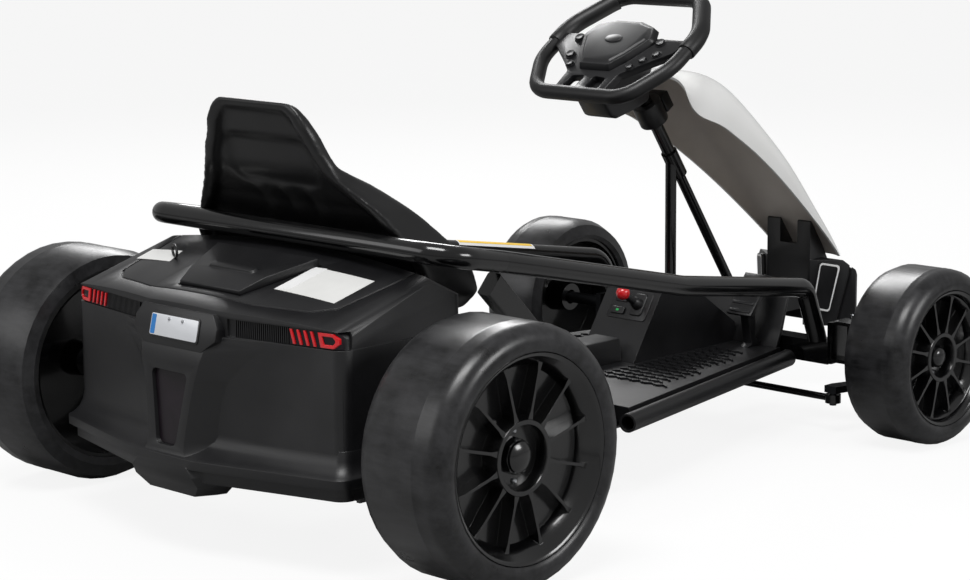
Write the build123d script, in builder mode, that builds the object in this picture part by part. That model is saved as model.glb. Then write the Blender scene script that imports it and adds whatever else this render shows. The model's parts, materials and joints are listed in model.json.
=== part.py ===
from build123d import *
import math
import os

os.makedirs("parts", exist_ok=True)

# Child's electric drift kart. Millimetres. X points ahead, Y to the left, Z up.
# The origin is on the ground, in the middle of the kart's length and width.

# Wheel layout
wheelbase = 728.0
rear_overhang = 145.0
nose_overhang = 160.0
rear_axle_x = (nose_overhang + wheelbase + rear_overhang) / -2 + rear_overhang
front_axle_x = rear_axle_x + wheelbase

# Clearances
running_fit = 0.05
seat_gap = 0.3
moving_gap = 2.0

# Rear wheels
rear_tyre_radius = 125.0
rear_tyre_width = 107.0
rear_bead_radius = 99.0
rear_outer_y = 359.0
rear_shoulder = 17.0

# Front wheels
front_tyre_radius = 100.0
front_tyre_width = 84.0
front_bead_radius = 77.0
front_outer_y = 318.0
front_shoulder = 17.0

# Rims
rib_count = 12
rib_thickness = 2.6
rim_wall = 4.0
rim_inset = 6.0

# Axles
rear_axle_radius = 8.0
stub_axle_radius = 7.0

# Rear cover
cover_half_width = 200.0
cover_wall = 3.5
cover_front = 78.0
skirt_bottom = 56.0
skirt_flare = 16.0
deck_rear_z = 247.0
deck_front_z = 279.0

# Seat
seat_half = 170.0

# Steel hoop, rails and struts
tube_radius = 11.0
tube_wall = 2.0
hoop_half_width = 220.0
hoop_z = 294.0
hoop_x = 33.0
rail_joint_x = 110.0

# Floor
floor_top = 90.0
floor_thickness = 18.0
floor_wall = 4.0
floor_rear_x = 314.0
floor_front_x = 690.0
floor_rear_half = 186.0
floor_front_half = 106.0

# Steering geometry
steering_lean = 55.8
shaft_point_x = 721.0
shaft_point_z = 159.0
shaft_radius = 6.0
kingpin_y = 186.0
kingpin_radius = 5.0
steering_arm = 42.0
tie_rod_z = 42.0
tie_rod_radius = 4.0
crank_length = 25.0

sides = (("left", 1), ("right", -1))


def ahead(distance):
    """X of a place a given distance ahead of the rear axle."""
    return rear_axle_x + distance


def keep(piece, name):
    """Label a finished piece and write it."""
    piece.part.label = name
    export_step(piece.part, f"parts/{name}.step")


def tube_along(name, points, bend_radii, radius=tube_radius, wall=tube_wall, foot_z=None):
    """A bent round tube whose centre line runs through the points, cut level at its foot."""
    with BuildPart() as tube:
        with BuildLine() as route:
            if len(points) > 2:
                FilletPolyline(*points, radius=bend_radii)
            else:
                Line(*points)
        with BuildSketch(Plane(origin=route.line @ 0, z_dir=route.line % 0)):
            Circle(radius)
            if wall:
                Circle(radius - wall, mode=Mode.SUBTRACT)
        sweep(path=route.line)
        if foot_z:
            split(bisect_by=Plane.XY.offset(foot_z), keep=Keep.TOP)
    keep(tube, name)


# Wheels
# One row per axle: name, axle x, tyre radius, width, bead radius, outer face y,
# shoulder radius, axle radius, cap sides
wheel_table = (
    ("rear", rear_axle_x, rear_tyre_radius, rear_tyre_width, rear_bead_radius,
     rear_outer_y, rear_shoulder, rear_axle_radius, 8),
    ("front", front_axle_x, front_tyre_radius, front_tyre_width, front_bead_radius,
     front_outer_y, front_shoulder, stub_axle_radius, 6),
)

lip_depth = 12.0
pocket_depth = 14.0
hub_recess = 26.0
hub_ring_wall = 4.0
hub_boss_length = 34.0
cap_height = 14.0


def build_wheel(end, side_name, side, axle_x, tyre_r, width, bead_r, outer_y, shoulder, axle_r, cap_sides):
    """Tyre and rim of one wheel, made on the wheel's own axle plane."""
    across = Plane(origin=(axle_x, side * outer_y, tyre_r), x_dir=(0, side, 0), z_dir=(1, 0, 0))
    face = Plane(origin=(axle_x, side * outer_y, tyre_r), x_dir=(1, 0, 0), z_dir=(0, side, 0))
    axle = Axis((axle_x, 0, tyre_r), (0, 1, 0))
    bulge = shoulder * 0.15

    with BuildPart() as tyre:
        with BuildSketch(across):
            with BuildLine():
                Polyline(
                    (-bulge, bead_r + running_fit), (-bulge, bead_r + 2), (0, bead_r + 5),
                    (0, tyre_r), (-width, tyre_r), (-width, bead_r + 5),
                    (-width + bulge, bead_r + 2), (-width + bulge, bead_r + running_fit),
                    close=True)
            make_face()
        revolve(axis=axle)
        tread_edges = tyre.edges().filter_by(GeomType.CIRCLE)
        fillet(tread_edges.filter_by(lambda edge: abs(edge.radius - tyre_r) < 0.01), shoulder)
    keep(tyre, f"{end}_tyre_{side_name}")

    pocket_r = bead_r * 0.885
    hub_r = bead_r * 0.355
    web_x = -lip_depth - pocket_depth
    with BuildPart() as rim:
        with BuildSketch(across):
            with BuildLine():
                Polyline(
                    (-bulge - 1, bead_r), (-bulge, bead_r - 2), (-bulge - 1, bead_r - 5),
                    (-lip_depth, pocket_r + 2), (-lip_depth - 1, pocket_r), (web_x, pocket_r - 5),
                    (web_x - 3, hub_r + 4), (-lip_depth, hub_r), (-lip_depth, hub_r - hub_ring_wall),
                    (-hub_recess, hub_r - hub_ring_wall), (-hub_recess, axle_r + running_fit),
                    (-hub_recess - hub_boss_length, axle_r + running_fit),
                    (-hub_recess - hub_boss_length, axle_r + 9), (web_x - 7, axle_r + 12),
                    (web_x - 4, pocket_r - 8), (web_x - 4, bead_r - rim_wall),
                    (-width + rim_inset, bead_r - rim_wall), (-width + rim_inset, bead_r),
                    close=True)
            make_face()
        revolve(axis=axle)
        with BuildSketch(face.offset(web_x - 3)):
            with PolarLocations(0, rib_count):
                with Locations(((pocket_r + hub_r) / 2, 0)):
                    Rectangle(pocket_r - hub_r + 2, rib_thickness)
        extrude(amount=pocket_depth + 2)
        cap_r = hub_r * 0.5
        with BuildSketch(face.offset(-hub_recess)) as cap_outline:
            RegularPolygon(cap_r, cap_sides)
        extrude(amount=cap_height, taper=14)
    keep(rim, f"{end}_rim_{side_name}")


for end, axle_x, tyre_r, width, bead_r, outer_y, shoulder, axle_r, cap_sides in wheel_table:
    for side_name, side in sides:
        build_wheel(end, side_name, side, axle_x, tyre_r, width, bead_r, outer_y, shoulder,
                    axle_r, cap_sides)

# Rear axle, one straight bar between the two wheel hubs
rear_axle_end = rear_outer_y - hub_recess - seat_gap
with BuildPart() as rear_axle:
    with BuildSketch(Plane.XZ.offset(-rear_axle_end)):
        with Locations((rear_axle_x, rear_tyre_radius)):
            Circle(rear_axle_radius)
    extrude(amount=2 * rear_axle_end)
keep(rear_axle, "rear_axle")

# Steel hoop behind the seat and the rails that fall from it to the floor
rail_mid = (ahead(420), 182.0, 208.0)
rail_front = (ahead(668), 157.0, 170.0)
rail_foot_z = 102.0
rail_foot = (ahead(708), 149.0, rail_foot_z - 8)
hoop_corner = (ahead(hoop_x), hoop_half_width, hoop_z)
hoop_bend = 62.0
fall = (rail_joint_x - hoop_x) / (rail_mid[0] - hoop_corner[0])
rail_joint = tuple(a + fall * (b - a) for a, b in zip(hoop_corner, rail_mid))


def mirrored(point, side):
    """The same point on the chosen side of the kart."""
    return (point[0], side * point[1], point[2])


tube_along("hoop_rear", [mirrored(rail_joint, 1), mirrored(hoop_corner, 1),
                         mirrored(hoop_corner, -1), mirrored(rail_joint, -1)], hoop_bend)
for side_name, side in sides:
    tube_along(f"side_rail_{side_name}",
               [mirrored(rail_joint, side), mirrored(rail_mid, side), mirrored(rail_front, side),
                mirrored(rail_foot, side)], [160.0, 26.0], foot_z=rail_foot_z)


def outline(plane, points):
    """A flat face on a plane, with its corners in the plane's own coordinates."""
    with BuildSketch(plane) as face:
        with BuildLine():
            Polyline(*points, close=True)
        make_face()
    return face.sketch


# Struts from the hoop down to the floor's cross member
strut_width = 16.0
strut_depth = 26.0
strut_foot = (ahead(300), 178.0, floor_top - 14)
strut_head = (ahead(99), 207.5, hoop_z - 38)
for side_name, side in sides:
    head = Vector(*mirrored(strut_head, side))
    foot = Vector(*mirrored(strut_foot, side))
    with BuildPart() as strut:
        with BuildSketch(Plane(origin=foot, x_dir=(0, 1, 0), z_dir=head - foot)) as section:
            RectangleRounded(strut_width, strut_depth, 3)
        extrude(amount=(head - foot).length)
        extrude(section.sketch, amount=-30)
        split(bisect_by=Plane.XY.offset(floor_top - floor_thickness), keep=Keep.TOP)
    keep(strut, f"hoop_strut_{side_name}")

# Lower steel frame: spine under the floor, cross members and the axle carriers
spine_width = 50.0
spine_height = 20.0
spine_bottom = floor_top - floor_thickness - spine_height
cross_size = 20.0
carrier_y = 150.0
carrier_thickness = 5.0
beam_size = 26.0
beam_bottom = 76.0
beam_half = 166.0
beam_x = ahead(714)
spine_rear = ahead(-20)
spine_front = beam_x - beam_size / 2
with BuildPart() as frame:
    with BuildSketch(Plane.XY.offset(spine_bottom)):
        with Locations(((spine_rear + spine_front) / 2, 0)):
            Rectangle(spine_front - spine_rear, spine_width)
        with Locations((ahead(0), 0)):
            Rectangle(2 * cross_size, 2 * carrier_y)
        with Locations((strut_foot[0] - 4, 0)):
            Rectangle(2 * cross_size - 12, 2 * strut_foot[1] + strut_width)
    extrude(amount=spine_height)
    for side_name, side in sides:
        with BuildSketch(Plane.XZ.offset(-side * carrier_y - carrier_thickness / 2)):
            with BuildLine():
                Polyline((ahead(-24), spine_bottom), (ahead(24), spine_bottom),
                         (ahead(16), rear_tyre_radius + 14), (ahead(-16), rear_tyre_radius + 14), close=True)
            make_face()
            with Locations((ahead(0), rear_tyre_radius)):
                Circle(rear_axle_radius + running_fit, mode=Mode.SUBTRACT)
        extrude(amount=carrier_thickness)
keep(frame, "lower_frame")

# Front beam with the kingpin yokes
ear_thickness = 4.0
sleeve_height = 40.0
ear_low = front_tyre_radius - sleeve_height / 2 - ear_thickness - seat_gap
ear_high = front_tyre_radius + sleeve_height / 2 + seat_gap
ear_reach = kingpin_y + 12
with BuildPart() as front_beam:
    with BuildSketch(Plane.YZ.offset(beam_x - beam_size / 2)):
        with Locations((0, beam_bottom + beam_size / 2)):
            Rectangle(2 * beam_half, beam_size)
    extrude(amount=beam_size)
    for side_name, side in sides:
        with BuildSketch(Plane.XY.offset(ear_low)):
            with Locations(((beam_x + front_axle_x) / 2 + 4, side * (beam_half - 2))):
                Rectangle(front_axle_x - beam_x + 22, 6)
        extrude(amount=ear_high + ear_thickness - ear_low)
        for ear_z in (ear_low, ear_high):
            with BuildSketch(Plane.XY.offset(ear_z)):
                with Locations((front_axle_x, side * (beam_half + kingpin_y) / 2)):
                    Rectangle(22, kingpin_y - beam_half + 4)
                with Locations((front_axle_x, side * kingpin_y)):
                    Circle(11)
            extrude(amount=ear_thickness)
        with BuildSketch(Plane.XY.offset(ear_low - 5)):
            with Locations((front_axle_x, side * kingpin_y)):
                Circle(kingpin_radius)
        extrude(amount=ear_high + ear_thickness + 5 - (ear_low - 5))
keep(front_beam, "front_beam")

# Knuckles: sleeve on the kingpin, stub axle, arm to the tie rod
sleeve_radius = 10.0
arm_outer_y = kingpin_y + 16
arm_thickness = 8.0
arm_bottom = tie_rod_z + tie_rod_radius + 3
pin_radius = 4.0
eye_height = 10.0
stub_end_y = front_outer_y - hub_recess - seat_gap
arm_x = front_axle_x - steering_arm
for side_name, side in sides:
    with BuildPart() as knuckle:
        with BuildSketch(Plane.XY.offset(front_tyre_radius - sleeve_height / 2)):
            with Locations((front_axle_x, side * kingpin_y)):
                Circle(sleeve_radius)
        extrude(amount=sleeve_height)
        with BuildSketch(Plane.XZ.offset(-side * (kingpin_y + 5))):
            with Locations((front_axle_x, front_tyre_radius)):
                Circle(stub_axle_radius)
        extrude(amount=-side * (stub_end_y - kingpin_y - 5))
        web = outline(Plane.XZ.offset(-side * (arm_outer_y - arm_thickness / 2)),
                      [(front_axle_x - 11, arm_bottom), (front_axle_x + 11, arm_bottom),
                       (front_axle_x + 11, front_tyre_radius + 12),
                       (front_axle_x - 11, front_tyre_radius + 12)])
        extrude(web, amount=-side * arm_thickness)
        with BuildSketch(Plane.XY.offset(arm_bottom)):
            with BuildLine():
                Polyline((front_axle_x + 11, side * (arm_outer_y + arm_thickness / 2)),
                         (arm_x - 6, side * (kingpin_y + 8)), (arm_x - 6, side * (kingpin_y - 8)),
                         (arm_x + 8, side * (kingpin_y - 8)), (front_axle_x - 16, side * (kingpin_y - 2)),
                         (front_axle_x + 11, side * (arm_outer_y - arm_thickness)), close=True)
            make_face()
        extrude(amount=arm_thickness)
        with BuildSketch(Plane.XY.offset(arm_bottom)):
            with Locations((arm_x, side * kingpin_y)):
                Circle(pin_radius)
        extrude(amount=-(arm_bottom - tie_rod_z + eye_height / 2 + 3))
        with BuildSketch(Plane.XY.offset(front_tyre_radius - sleeve_height / 2 - 1)):
            with Locations((front_axle_x, side * kingpin_y)):
                Circle(kingpin_radius + running_fit)
        extrude(amount=sleeve_height + 2, mode=Mode.SUBTRACT)
    keep(knuckle, f"knuckle_{side_name}")

# Steering column. The shaft's line is given by one point and its lean.
lean = math.radians(steering_lean)
shaft_up = Vector(-math.cos(lean), 0, math.sin(lean))
shaft_point = Vector(ahead(shaft_point_x), 0, shaft_point_z)
shaft_foot_z = 84.0
wheel_centre_z = 452.0


def on_shaft(z):
    """The point of the shaft's line at a given height."""
    return shaft_point + shaft_up * ((z - shaft_point.Z) / shaft_up.Z)


def across_shaft(z):
    """A plane square to the shaft at a given height, x pointing to the driver's side."""
    return Plane(origin=on_shaft(z), x_dir=(math.sin(lean), 0, math.cos(lean)), z_dir=shaft_up)


shaft_length = (on_shaft(wheel_centre_z) - on_shaft(shaft_foot_z)).length
crank_end = on_shaft(shaft_foot_z) - across_shaft(shaft_foot_z).x_dir * crank_length
# Tie rod with an eye at each end and a slotted tab for the crank
eye_radius = 9.0
tab_width = 22.0
slot_width = 9.0
slot_length = 24.0
slot_x = crank_end.X + (crank_end.Z - tie_rod_z) * math.cos(lean) / math.sin(lean)
tab_reach = slot_x + slot_length / 2 + 6 - arm_x
with BuildPart() as tie_rod:
    with BuildSketch(Plane.XZ.offset(-(kingpin_y - eye_radius + 1))):
        with Locations((arm_x, tie_rod_z)):
            Circle(tie_rod_radius)
    extrude(amount=2 * (kingpin_y - eye_radius + 1))
    with BuildSketch(Plane.XY.offset(tie_rod_z - eye_height / 2)):
        with Locations((arm_x, kingpin_y), (arm_x, -kingpin_y)):
            Circle(eye_radius)
    extrude(amount=eye_height)
    with BuildSketch(Plane.XY.offset(tie_rod_z - 2)):
        with Locations((arm_x + tab_reach / 2, 0)):
            Rectangle(tab_reach, tab_width)
    extrude(amount=4)
    with BuildSketch(Plane.XY.offset(tie_rod_z - eye_height)):
        with Locations((arm_x, kingpin_y), (arm_x, -kingpin_y)):
            Circle(pin_radius + running_fit)
        with Locations((slot_x, 0)):
            SlotOverall(slot_length, slot_width)
    extrude(amount=2 * eye_height, mode=Mode.SUBTRACT)
keep(tie_rod, "tie_rod")

crank_pin_drop = (crank_end.Z - (tie_rod_z - 8)) / shaft_up.Z
with BuildPart() as shaft:
    with BuildSketch(across_shaft(shaft_foot_z)):
        Circle(shaft_radius)
    extrude(amount=shaft_length - 14)
    with BuildSketch(across_shaft(320)):
        Circle(shaft_radius + 1.5)
    extrude(amount=(on_shaft(430) - on_shaft(320)).length)
    with BuildSketch(across_shaft(shaft_foot_z)):
        with Locations((-crank_length / 2, 0)):
            SlotOverall(crank_length + 16, 14)
    extrude(amount=6)
    with BuildSketch(Plane(origin=crank_end, z_dir=shaft_up)):
        Circle(3)
    extrude(amount=-crank_pin_drop)
keep(shaft, "steering_shaft")

# Steering wheel: a squarish rim with a flat foot, two side spokes and a lower one
rim_radius = 11.0
wheel_half_width = 100.0
wheel_top = 82.0
wheel_foot = -84.0
rim_bend = 32.0
wheel_plane = across_shaft(wheel_centre_z)
wheel_corners = [(wheel_top, 52), (wheel_top, -52), (40, -wheel_half_width), (-38, -wheel_half_width),
                 (wheel_foot, -58), (wheel_foot, 58), (-38, wheel_half_width), (40, wheel_half_width)]
with BuildPart() as steering_wheel:
    with BuildLine(wheel_plane) as rim_route:
        FilletPolyline(*wheel_corners, radius=rim_bend, close=True)
    with BuildSketch(Plane(origin=rim_route.line @ 0, z_dir=rim_route.line % 0)):
        Ellipse(rim_radius, rim_radius)
    sweep(path=rim_route.line)
keep(steering_wheel, "steering_wheel")

# Wheel pad and shroud
pad_plane = across_shaft(wheel_centre_z)
with BuildPart() as pad:
    with BuildSketch(pad_plane.offset(-6)):
        with BuildLine():
            Polyline((34, -26), (34, 26), (8, 50), (-22, 40), (-38, 22), (-38, -22), (-22, -40), (8, -50),
                     close=True)
        make_face()
    extrude(amount=20, taper=12)
keep(pad, "wheel_pad")

# Steering post: an upright from the floor to a sleeve round the shaft
post_x = ahead(617)
post_radius = 6.5
sleeve_low_z = 290.0
sleeve_high_z = 318.0
post_top = on_shaft(sleeve_high_z).Z - 14
with BuildPart() as post:
    with BuildSketch(Plane.XY.offset(floor_top)):
        with Locations((post_x, 0)):
            Circle(post_radius)
    extrude(amount=post_top - floor_top)
    with BuildSketch(Plane.XY.offset(floor_top)):
        with Locations((post_x, 0)):
            Circle(post_radius + 2.5)
    extrude(amount=12)
    with BuildSketch(across_shaft(sleeve_low_z)):
        Circle(shaft_radius + 3.5)
    extrude(amount=(on_shaft(sleeve_high_z) - on_shaft(sleeve_low_z)).length)
    with BuildSketch(across_shaft(sleeve_low_z - 20)):
        Circle(shaft_radius + running_fit)
    extrude(amount=(on_shaft(sleeve_high_z) - on_shaft(sleeve_low_z)).length + 50, mode=Mode.SUBTRACT)
keep(post, "steering_post")

# Floor pan: an open tray turned down, tapering towards the front
with BuildPart() as floor_pan:
    with BuildSketch(Plane.XY.offset(floor_top - floor_thickness)):
        with BuildLine():
            corners = [(ahead(floor_rear_x), 160), (ahead(floor_rear_x + 20), 160),
                       (ahead(floor_rear_x + 20), floor_rear_half - 4), (ahead(floor_front_x), floor_front_half)]
            Polyline(*corners, *[(x, -y) for x, y in reversed(corners)], close=True)
        make_face()
    extrude(amount=floor_thickness)
keep(floor_pan, "floor_pan")

# Rear cover
back_outline = ((ahead(-143), 0), (ahead(-138), 44), (ahead(-118), 54), (ahead(-84), cover_half_width),
                (ahead(cover_front), cover_half_width - 8))
deck_profile = ((ahead(-160), skirt_bottom), (ahead(-160), deck_rear_z - 25), (ahead(-80), deck_rear_z),
                (ahead(7), deck_front_z), (ahead(cover_front), deck_front_z - 12),
                (ahead(cover_front + 10), skirt_bottom))


def cover_block(inset):
    """The cover's outer form, or the hollow inside it, inset by the wall."""
    with BuildPart() as block:
        with BuildSketch(Plane.XY.offset(skirt_bottom)):
            with BuildLine():
                left = [(x + inset, max(y - inset, 0)) if x < ahead(0) else (x - inset, y - inset)
                        for x, y in back_outline]
                Polyline(*left, *[(x, -y) for x, y in reversed(left[1:])], close=True)
            make_face()
        extrude(amount=deck_front_z + 20 - skirt_bottom)
        with BuildSketch(Plane.XZ.offset(-cover_half_width - 20)):
            with BuildLine():
                Polyline(*[(x, z - (inset if z > skirt_bottom else 0)) for x, z in deck_profile], close=True)
            make_face()
        extrude(amount=2 * cover_half_width + 40, mode=Mode.INTERSECT)
    return block.part


with BuildPart() as rear_cover:
    add(cover_block(0))
    add(cover_block(cover_wall), mode=Mode.SUBTRACT)
    with BuildSketch(Plane.XZ.offset(-cover_half_width - 20)):
        with Locations((ahead(0), rear_tyre_radius - 40)):
            Rectangle(44, 120)
    extrude(amount=2 * cover_half_width + 40, mode=Mode.SUBTRACT)

# Battery lid, hinged at its front edge, in a bay sunk through the deck
lid_rear = ahead(-80)
lid_front = ahead(7)
lid_rear_half = 46.0
lid_front_half = 75.0
lid_thickness = 4.0
deck_slope = math.atan2(deck_front_z - deck_rear_z, lid_front - lid_rear)
lid_plane = Plane(origin=(lid_front, 0, deck_front_z), x_dir=(math.cos(deck_slope), 0, math.sin(deck_slope)),
                  z_dir=(-math.sin(deck_slope), 0, math.cos(deck_slope)))
lid_hinge = (lid_front - moving_gap - 2, 0, deck_front_z - 2)
lid_length = (lid_front - lid_rear) / math.cos(deck_slope) - 4
bay_outline = [(0, lid_front_half), (-lid_length, lid_rear_half), (-lid_length, -lid_rear_half),
               (0, -lid_front_half)]
with BuildPart() as lid:
    with BuildSketch(lid_plane.offset(-lid_thickness)):
        with BuildLine():
            Polyline((-moving_gap, lid_front_half - moving_gap),
                     (-lid_length + moving_gap, lid_rear_half - moving_gap),
                     (-lid_length + moving_gap, -lid_rear_half + moving_gap),
                     (-moving_gap, -lid_front_half + moving_gap), close=True)
        make_face()
    extrude(amount=lid_thickness + 2)
    with BuildSketch(lid_plane.offset(2)):
        with Locations((-62, 0)):
            RectangleRounded(12, 66, 4)
    extrude(amount=8, taper=15)
keep(lid, "battery_lid")

with BuildPart() as bay_cut:
    with BuildSketch(lid_plane.offset(-20)):
        with BuildLine():
            Polyline(*bay_outline, close=True)
        make_face()
    extrude(amount=40)
with BuildPart() as rear_cover_open:
    add(rear_cover.part)
    add(bay_cut.part, mode=Mode.SUBTRACT)
    with BuildSketch(Plane.XZ.offset(-seat_half - 3)):
        with BuildLine():
            Polyline((ahead(44), 224), (ahead(44), 300), (ahead(100), 300), (ahead(100), 224), close=True)
        make_face()
    extrude(amount=2 * seat_half + 6, mode=Mode.SUBTRACT)
    with BuildSketch(Plane.YZ.offset(ahead(cover_front - 20))):
        with Locations((0, spine_bottom + spine_height / 2)):
            Rectangle(spine_width + 2, spine_height + 2)
    extrude(amount=40, mode=Mode.SUBTRACT)
keep(rear_cover_open, "rear_cover")

# Battery block under the lid and the two drive motors ahead of the axle
battery_size = (66.0, 150.0, 88.0)
battery_bottom = rear_tyre_radius + 22
with BuildPart() as battery:
    with BuildSketch(Plane.XY.offset(battery_bottom)):
        with Locations((ahead(-26), 0)):
            RectangleRounded(battery_size[0], battery_size[1], 4)
    extrude(amount=battery_size[2])
keep(battery, "battery")
motor_length = 62.0
motor_radius = 30.0
for side_name, side in sides:
    with BuildPart() as motor:
        with BuildSketch(Plane.XZ.offset(-side * (carrier_y - carrier_thickness / 2 - seat_gap))):
            with Locations((rear_axle_x, rear_tyre_radius)):
                Circle(motor_radius)
                Circle(rear_axle_radius + running_fit, mode=Mode.SUBTRACT)
        extrude(amount=side * motor_length)
    keep(motor, f"drive_motor_{side_name}")

# Seat shell
# side profile: distance ahead of the rear axle, height
seat_side = ((-20, 431), (-17, 405), (-4, 365), (30, 318), (52, 292), (62, 232), (196, 214), (206, 226),
             (128, 240), (118, 264), (84, 298), (58, 322), (34, 362), (18, 402), (-2, 431))
# rear profile: half-width, height
seat_back = ((52, 431), (64, 420), (84, 385), (98, 358), (128, 330), (168, 292), (172, 256), (130, 214))
with BuildPart() as seat:
    with BuildSketch(Plane.XZ.offset(-seat_half - 10)):
        with BuildLine():
            Polyline(*[(ahead(x), z) for x, z in seat_side], close=True)
        make_face()
    extrude(amount=2 * seat_half + 20)
    with BuildSketch(Plane.YZ.offset(ahead(-40))):
        with BuildLine():
            Polyline(*seat_back, *[(-y, z) for y, z in reversed(seat_back)], close=True)
        make_face()
    extrude(amount=300, mode=Mode.INTERSECT)
    with BuildSketch(Plane.XZ.offset(-seat_half + 26)):
        with BuildLine():
            Polyline(*[(ahead(x), z) for x, z in ((0, 440), (14, 405), (38, 360), (60, 312), (76, 250),
                                                  (240, 232), (240, 440))], close=True)
        make_face()
    extrude(amount=2 * (seat_half - 26), mode=Mode.SUBTRACT)
keep(seat, "seat")

# Seat bracket, two steel cross bars on uprights from the spine
with BuildPart() as bracket:
    with BuildSketch(Plane.XY.offset(spine_bottom + spine_height)):
        with Locations((ahead(145), 0)):
            Rectangle(120, 44)
    extrude(amount=4)
    with BuildSketch(Plane.XY.offset(spine_bottom + spine_height)):
        with Locations((ahead(98), 0), (ahead(185), 0)):
            RectangleRounded(20, 40, 3)
    extrude(amount=214 - spine_bottom - spine_height)
keep(bracket, "seat_bracket")

# Console between the driver's knees
console_half = 40.0
console_side = ((505, 90), (555, 167), (570, 168), (632, 150), (688, 112), (688, 90))
with BuildPart() as console:
    with BuildSketch(Plane.XZ.offset(-console_half)):
        with BuildLine():
            Polyline(*[(ahead(x), z) for x, z in console_side], close=True)
        make_face()
    extrude(amount=2 * console_half)
    with BuildSketch(Plane.XY.offset(floor_top)):
        with Locations((post_x, 0)):
            Circle(post_radius + running_fit)
    extrude(amount=120, mode=Mode.SUBTRACT)
    with BuildSketch(Plane.XY.offset(floor_top)):
        with Locations((post_x, 0)):
            Circle(post_radius + 2.5 + running_fit)
    extrude(amount=12 + running_fit, mode=Mode.SUBTRACT)
keep(console, "console")

# Sills along the pan's edges
sill_radius = 11.0
for side_name, side in sides:
    rear_end = Vector(ahead(floor_rear_x), side * (floor_rear_half + sill_radius + 0.5), floor_top - sill_radius)
    front_end = Vector(ahead(floor_front_x), side * (floor_front_half + sill_radius + 0.5), floor_top - sill_radius)
    with BuildPart() as sill:
        with BuildSketch(Plane(origin=rear_end, x_dir=(0, 0, 1), z_dir=front_end - rear_end)):
            Circle(sill_radius - 1)
            Circle(sill_radius - 3.5, mode=Mode.SUBTRACT)
        extrude(amount=(front_end - rear_end).length)
    keep(sill, f"sill_{side_name}")

# Fairing shield
shield_side = ((574, 386), (580, 366), (622, 356), (686, 320), (746, 280), (798, 240), (841, 205), (872, 180),
               (880, 184), (784, 297), (677, 386), (640, 408), (600, 418), (568, 414))
# front view of the shield: half-width, height
shield_front = ((50, 178), (56, 240), (63, 300), (69, 345), (70, 356), (66, 380), (44, 412), (36, 420))
fairing_wall = 3.0
shield_inner = ((560, 300), (560, 411), (600, 415), (638, 405), (675, 382.6), (782, 293), (877, 181), (860, 160))
with BuildPart() as fairing:
    with BuildSketch(Plane.XZ.offset(-70)):
        with BuildLine():
            Polyline(*[(ahead(x), z) for x, z in shield_side], close=True)
        make_face()
    extrude(amount=140)
    with BuildSketch(Plane.YZ.offset(ahead(500))):
        with BuildLine():
            Polyline(*shield_front, *[(-y, z) for y, z in reversed(shield_front)], close=True)
        make_face()
    extrude(amount=400, mode=Mode.INTERSECT)
    with BuildSketch(Plane.YZ.offset(ahead(500))) as inside_front:
        with BuildLine():
            Polyline(*[(y - fairing_wall, z) for y, z in shield_front],
                     *[(fairing_wall - y, z) for y, z in reversed(shield_front)], close=True)
        make_face()
    with BuildSketch(Plane.XZ.offset(-70)) as inside_side:
        with BuildLine():
            Polyline(*[(ahead(x), z) for x, z in shield_inner], close=True)
        make_face()
    hollow = extrude(inside_front.sketch, amount=400, mode=Mode.PRIVATE)
    hollow = hollow & extrude(inside_side.sketch, amount=140, mode=Mode.PRIVATE)
    add(hollow, mode=Mode.SUBTRACT)
keep(fairing, "fairing")

# Nose: a hollow moulding, open behind and below, with two pillars up to the shield
nose_wall = 3.5
nose_half = 100.0
nose_side = ((746, 88), (746, 150), (762, 160), (850, 168), (872, 160), (888, 138), (888, 104), (872, 88))
nose_hollow = ((740, 80), (740, 146.5), (763, 156.4), (850, 164.4), (870, 157), (884.5, 136.6), (884.5, 105.6),
               (868, 88), (868, 80))
with BuildPart() as nose:
    with BuildSketch(Plane.XZ.offset(-nose_half)):
        with BuildLine():
            Polyline(*[(ahead(x), z) for x, z in nose_side], close=True)
        make_face()
    extrude(amount=2 * nose_half)
    with BuildSketch(Plane.XZ.offset(-nose_half + nose_wall)):
        with BuildLine():
            Polyline(*[(ahead(x), z) for x, z in nose_hollow], close=True)
        make_face()
    extrude(amount=2 * (nose_half - nose_wall), mode=Mode.SUBTRACT)
keep(nose, "nose")
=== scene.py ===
"""Looks of the child's electric drift kart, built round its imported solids."""

import json
import logging
import math
from collections.abc import Iterable
from dataclasses import dataclass
from enum import Enum

import bmesh
import bpy
from mathutils import Matrix, Vector

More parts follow.
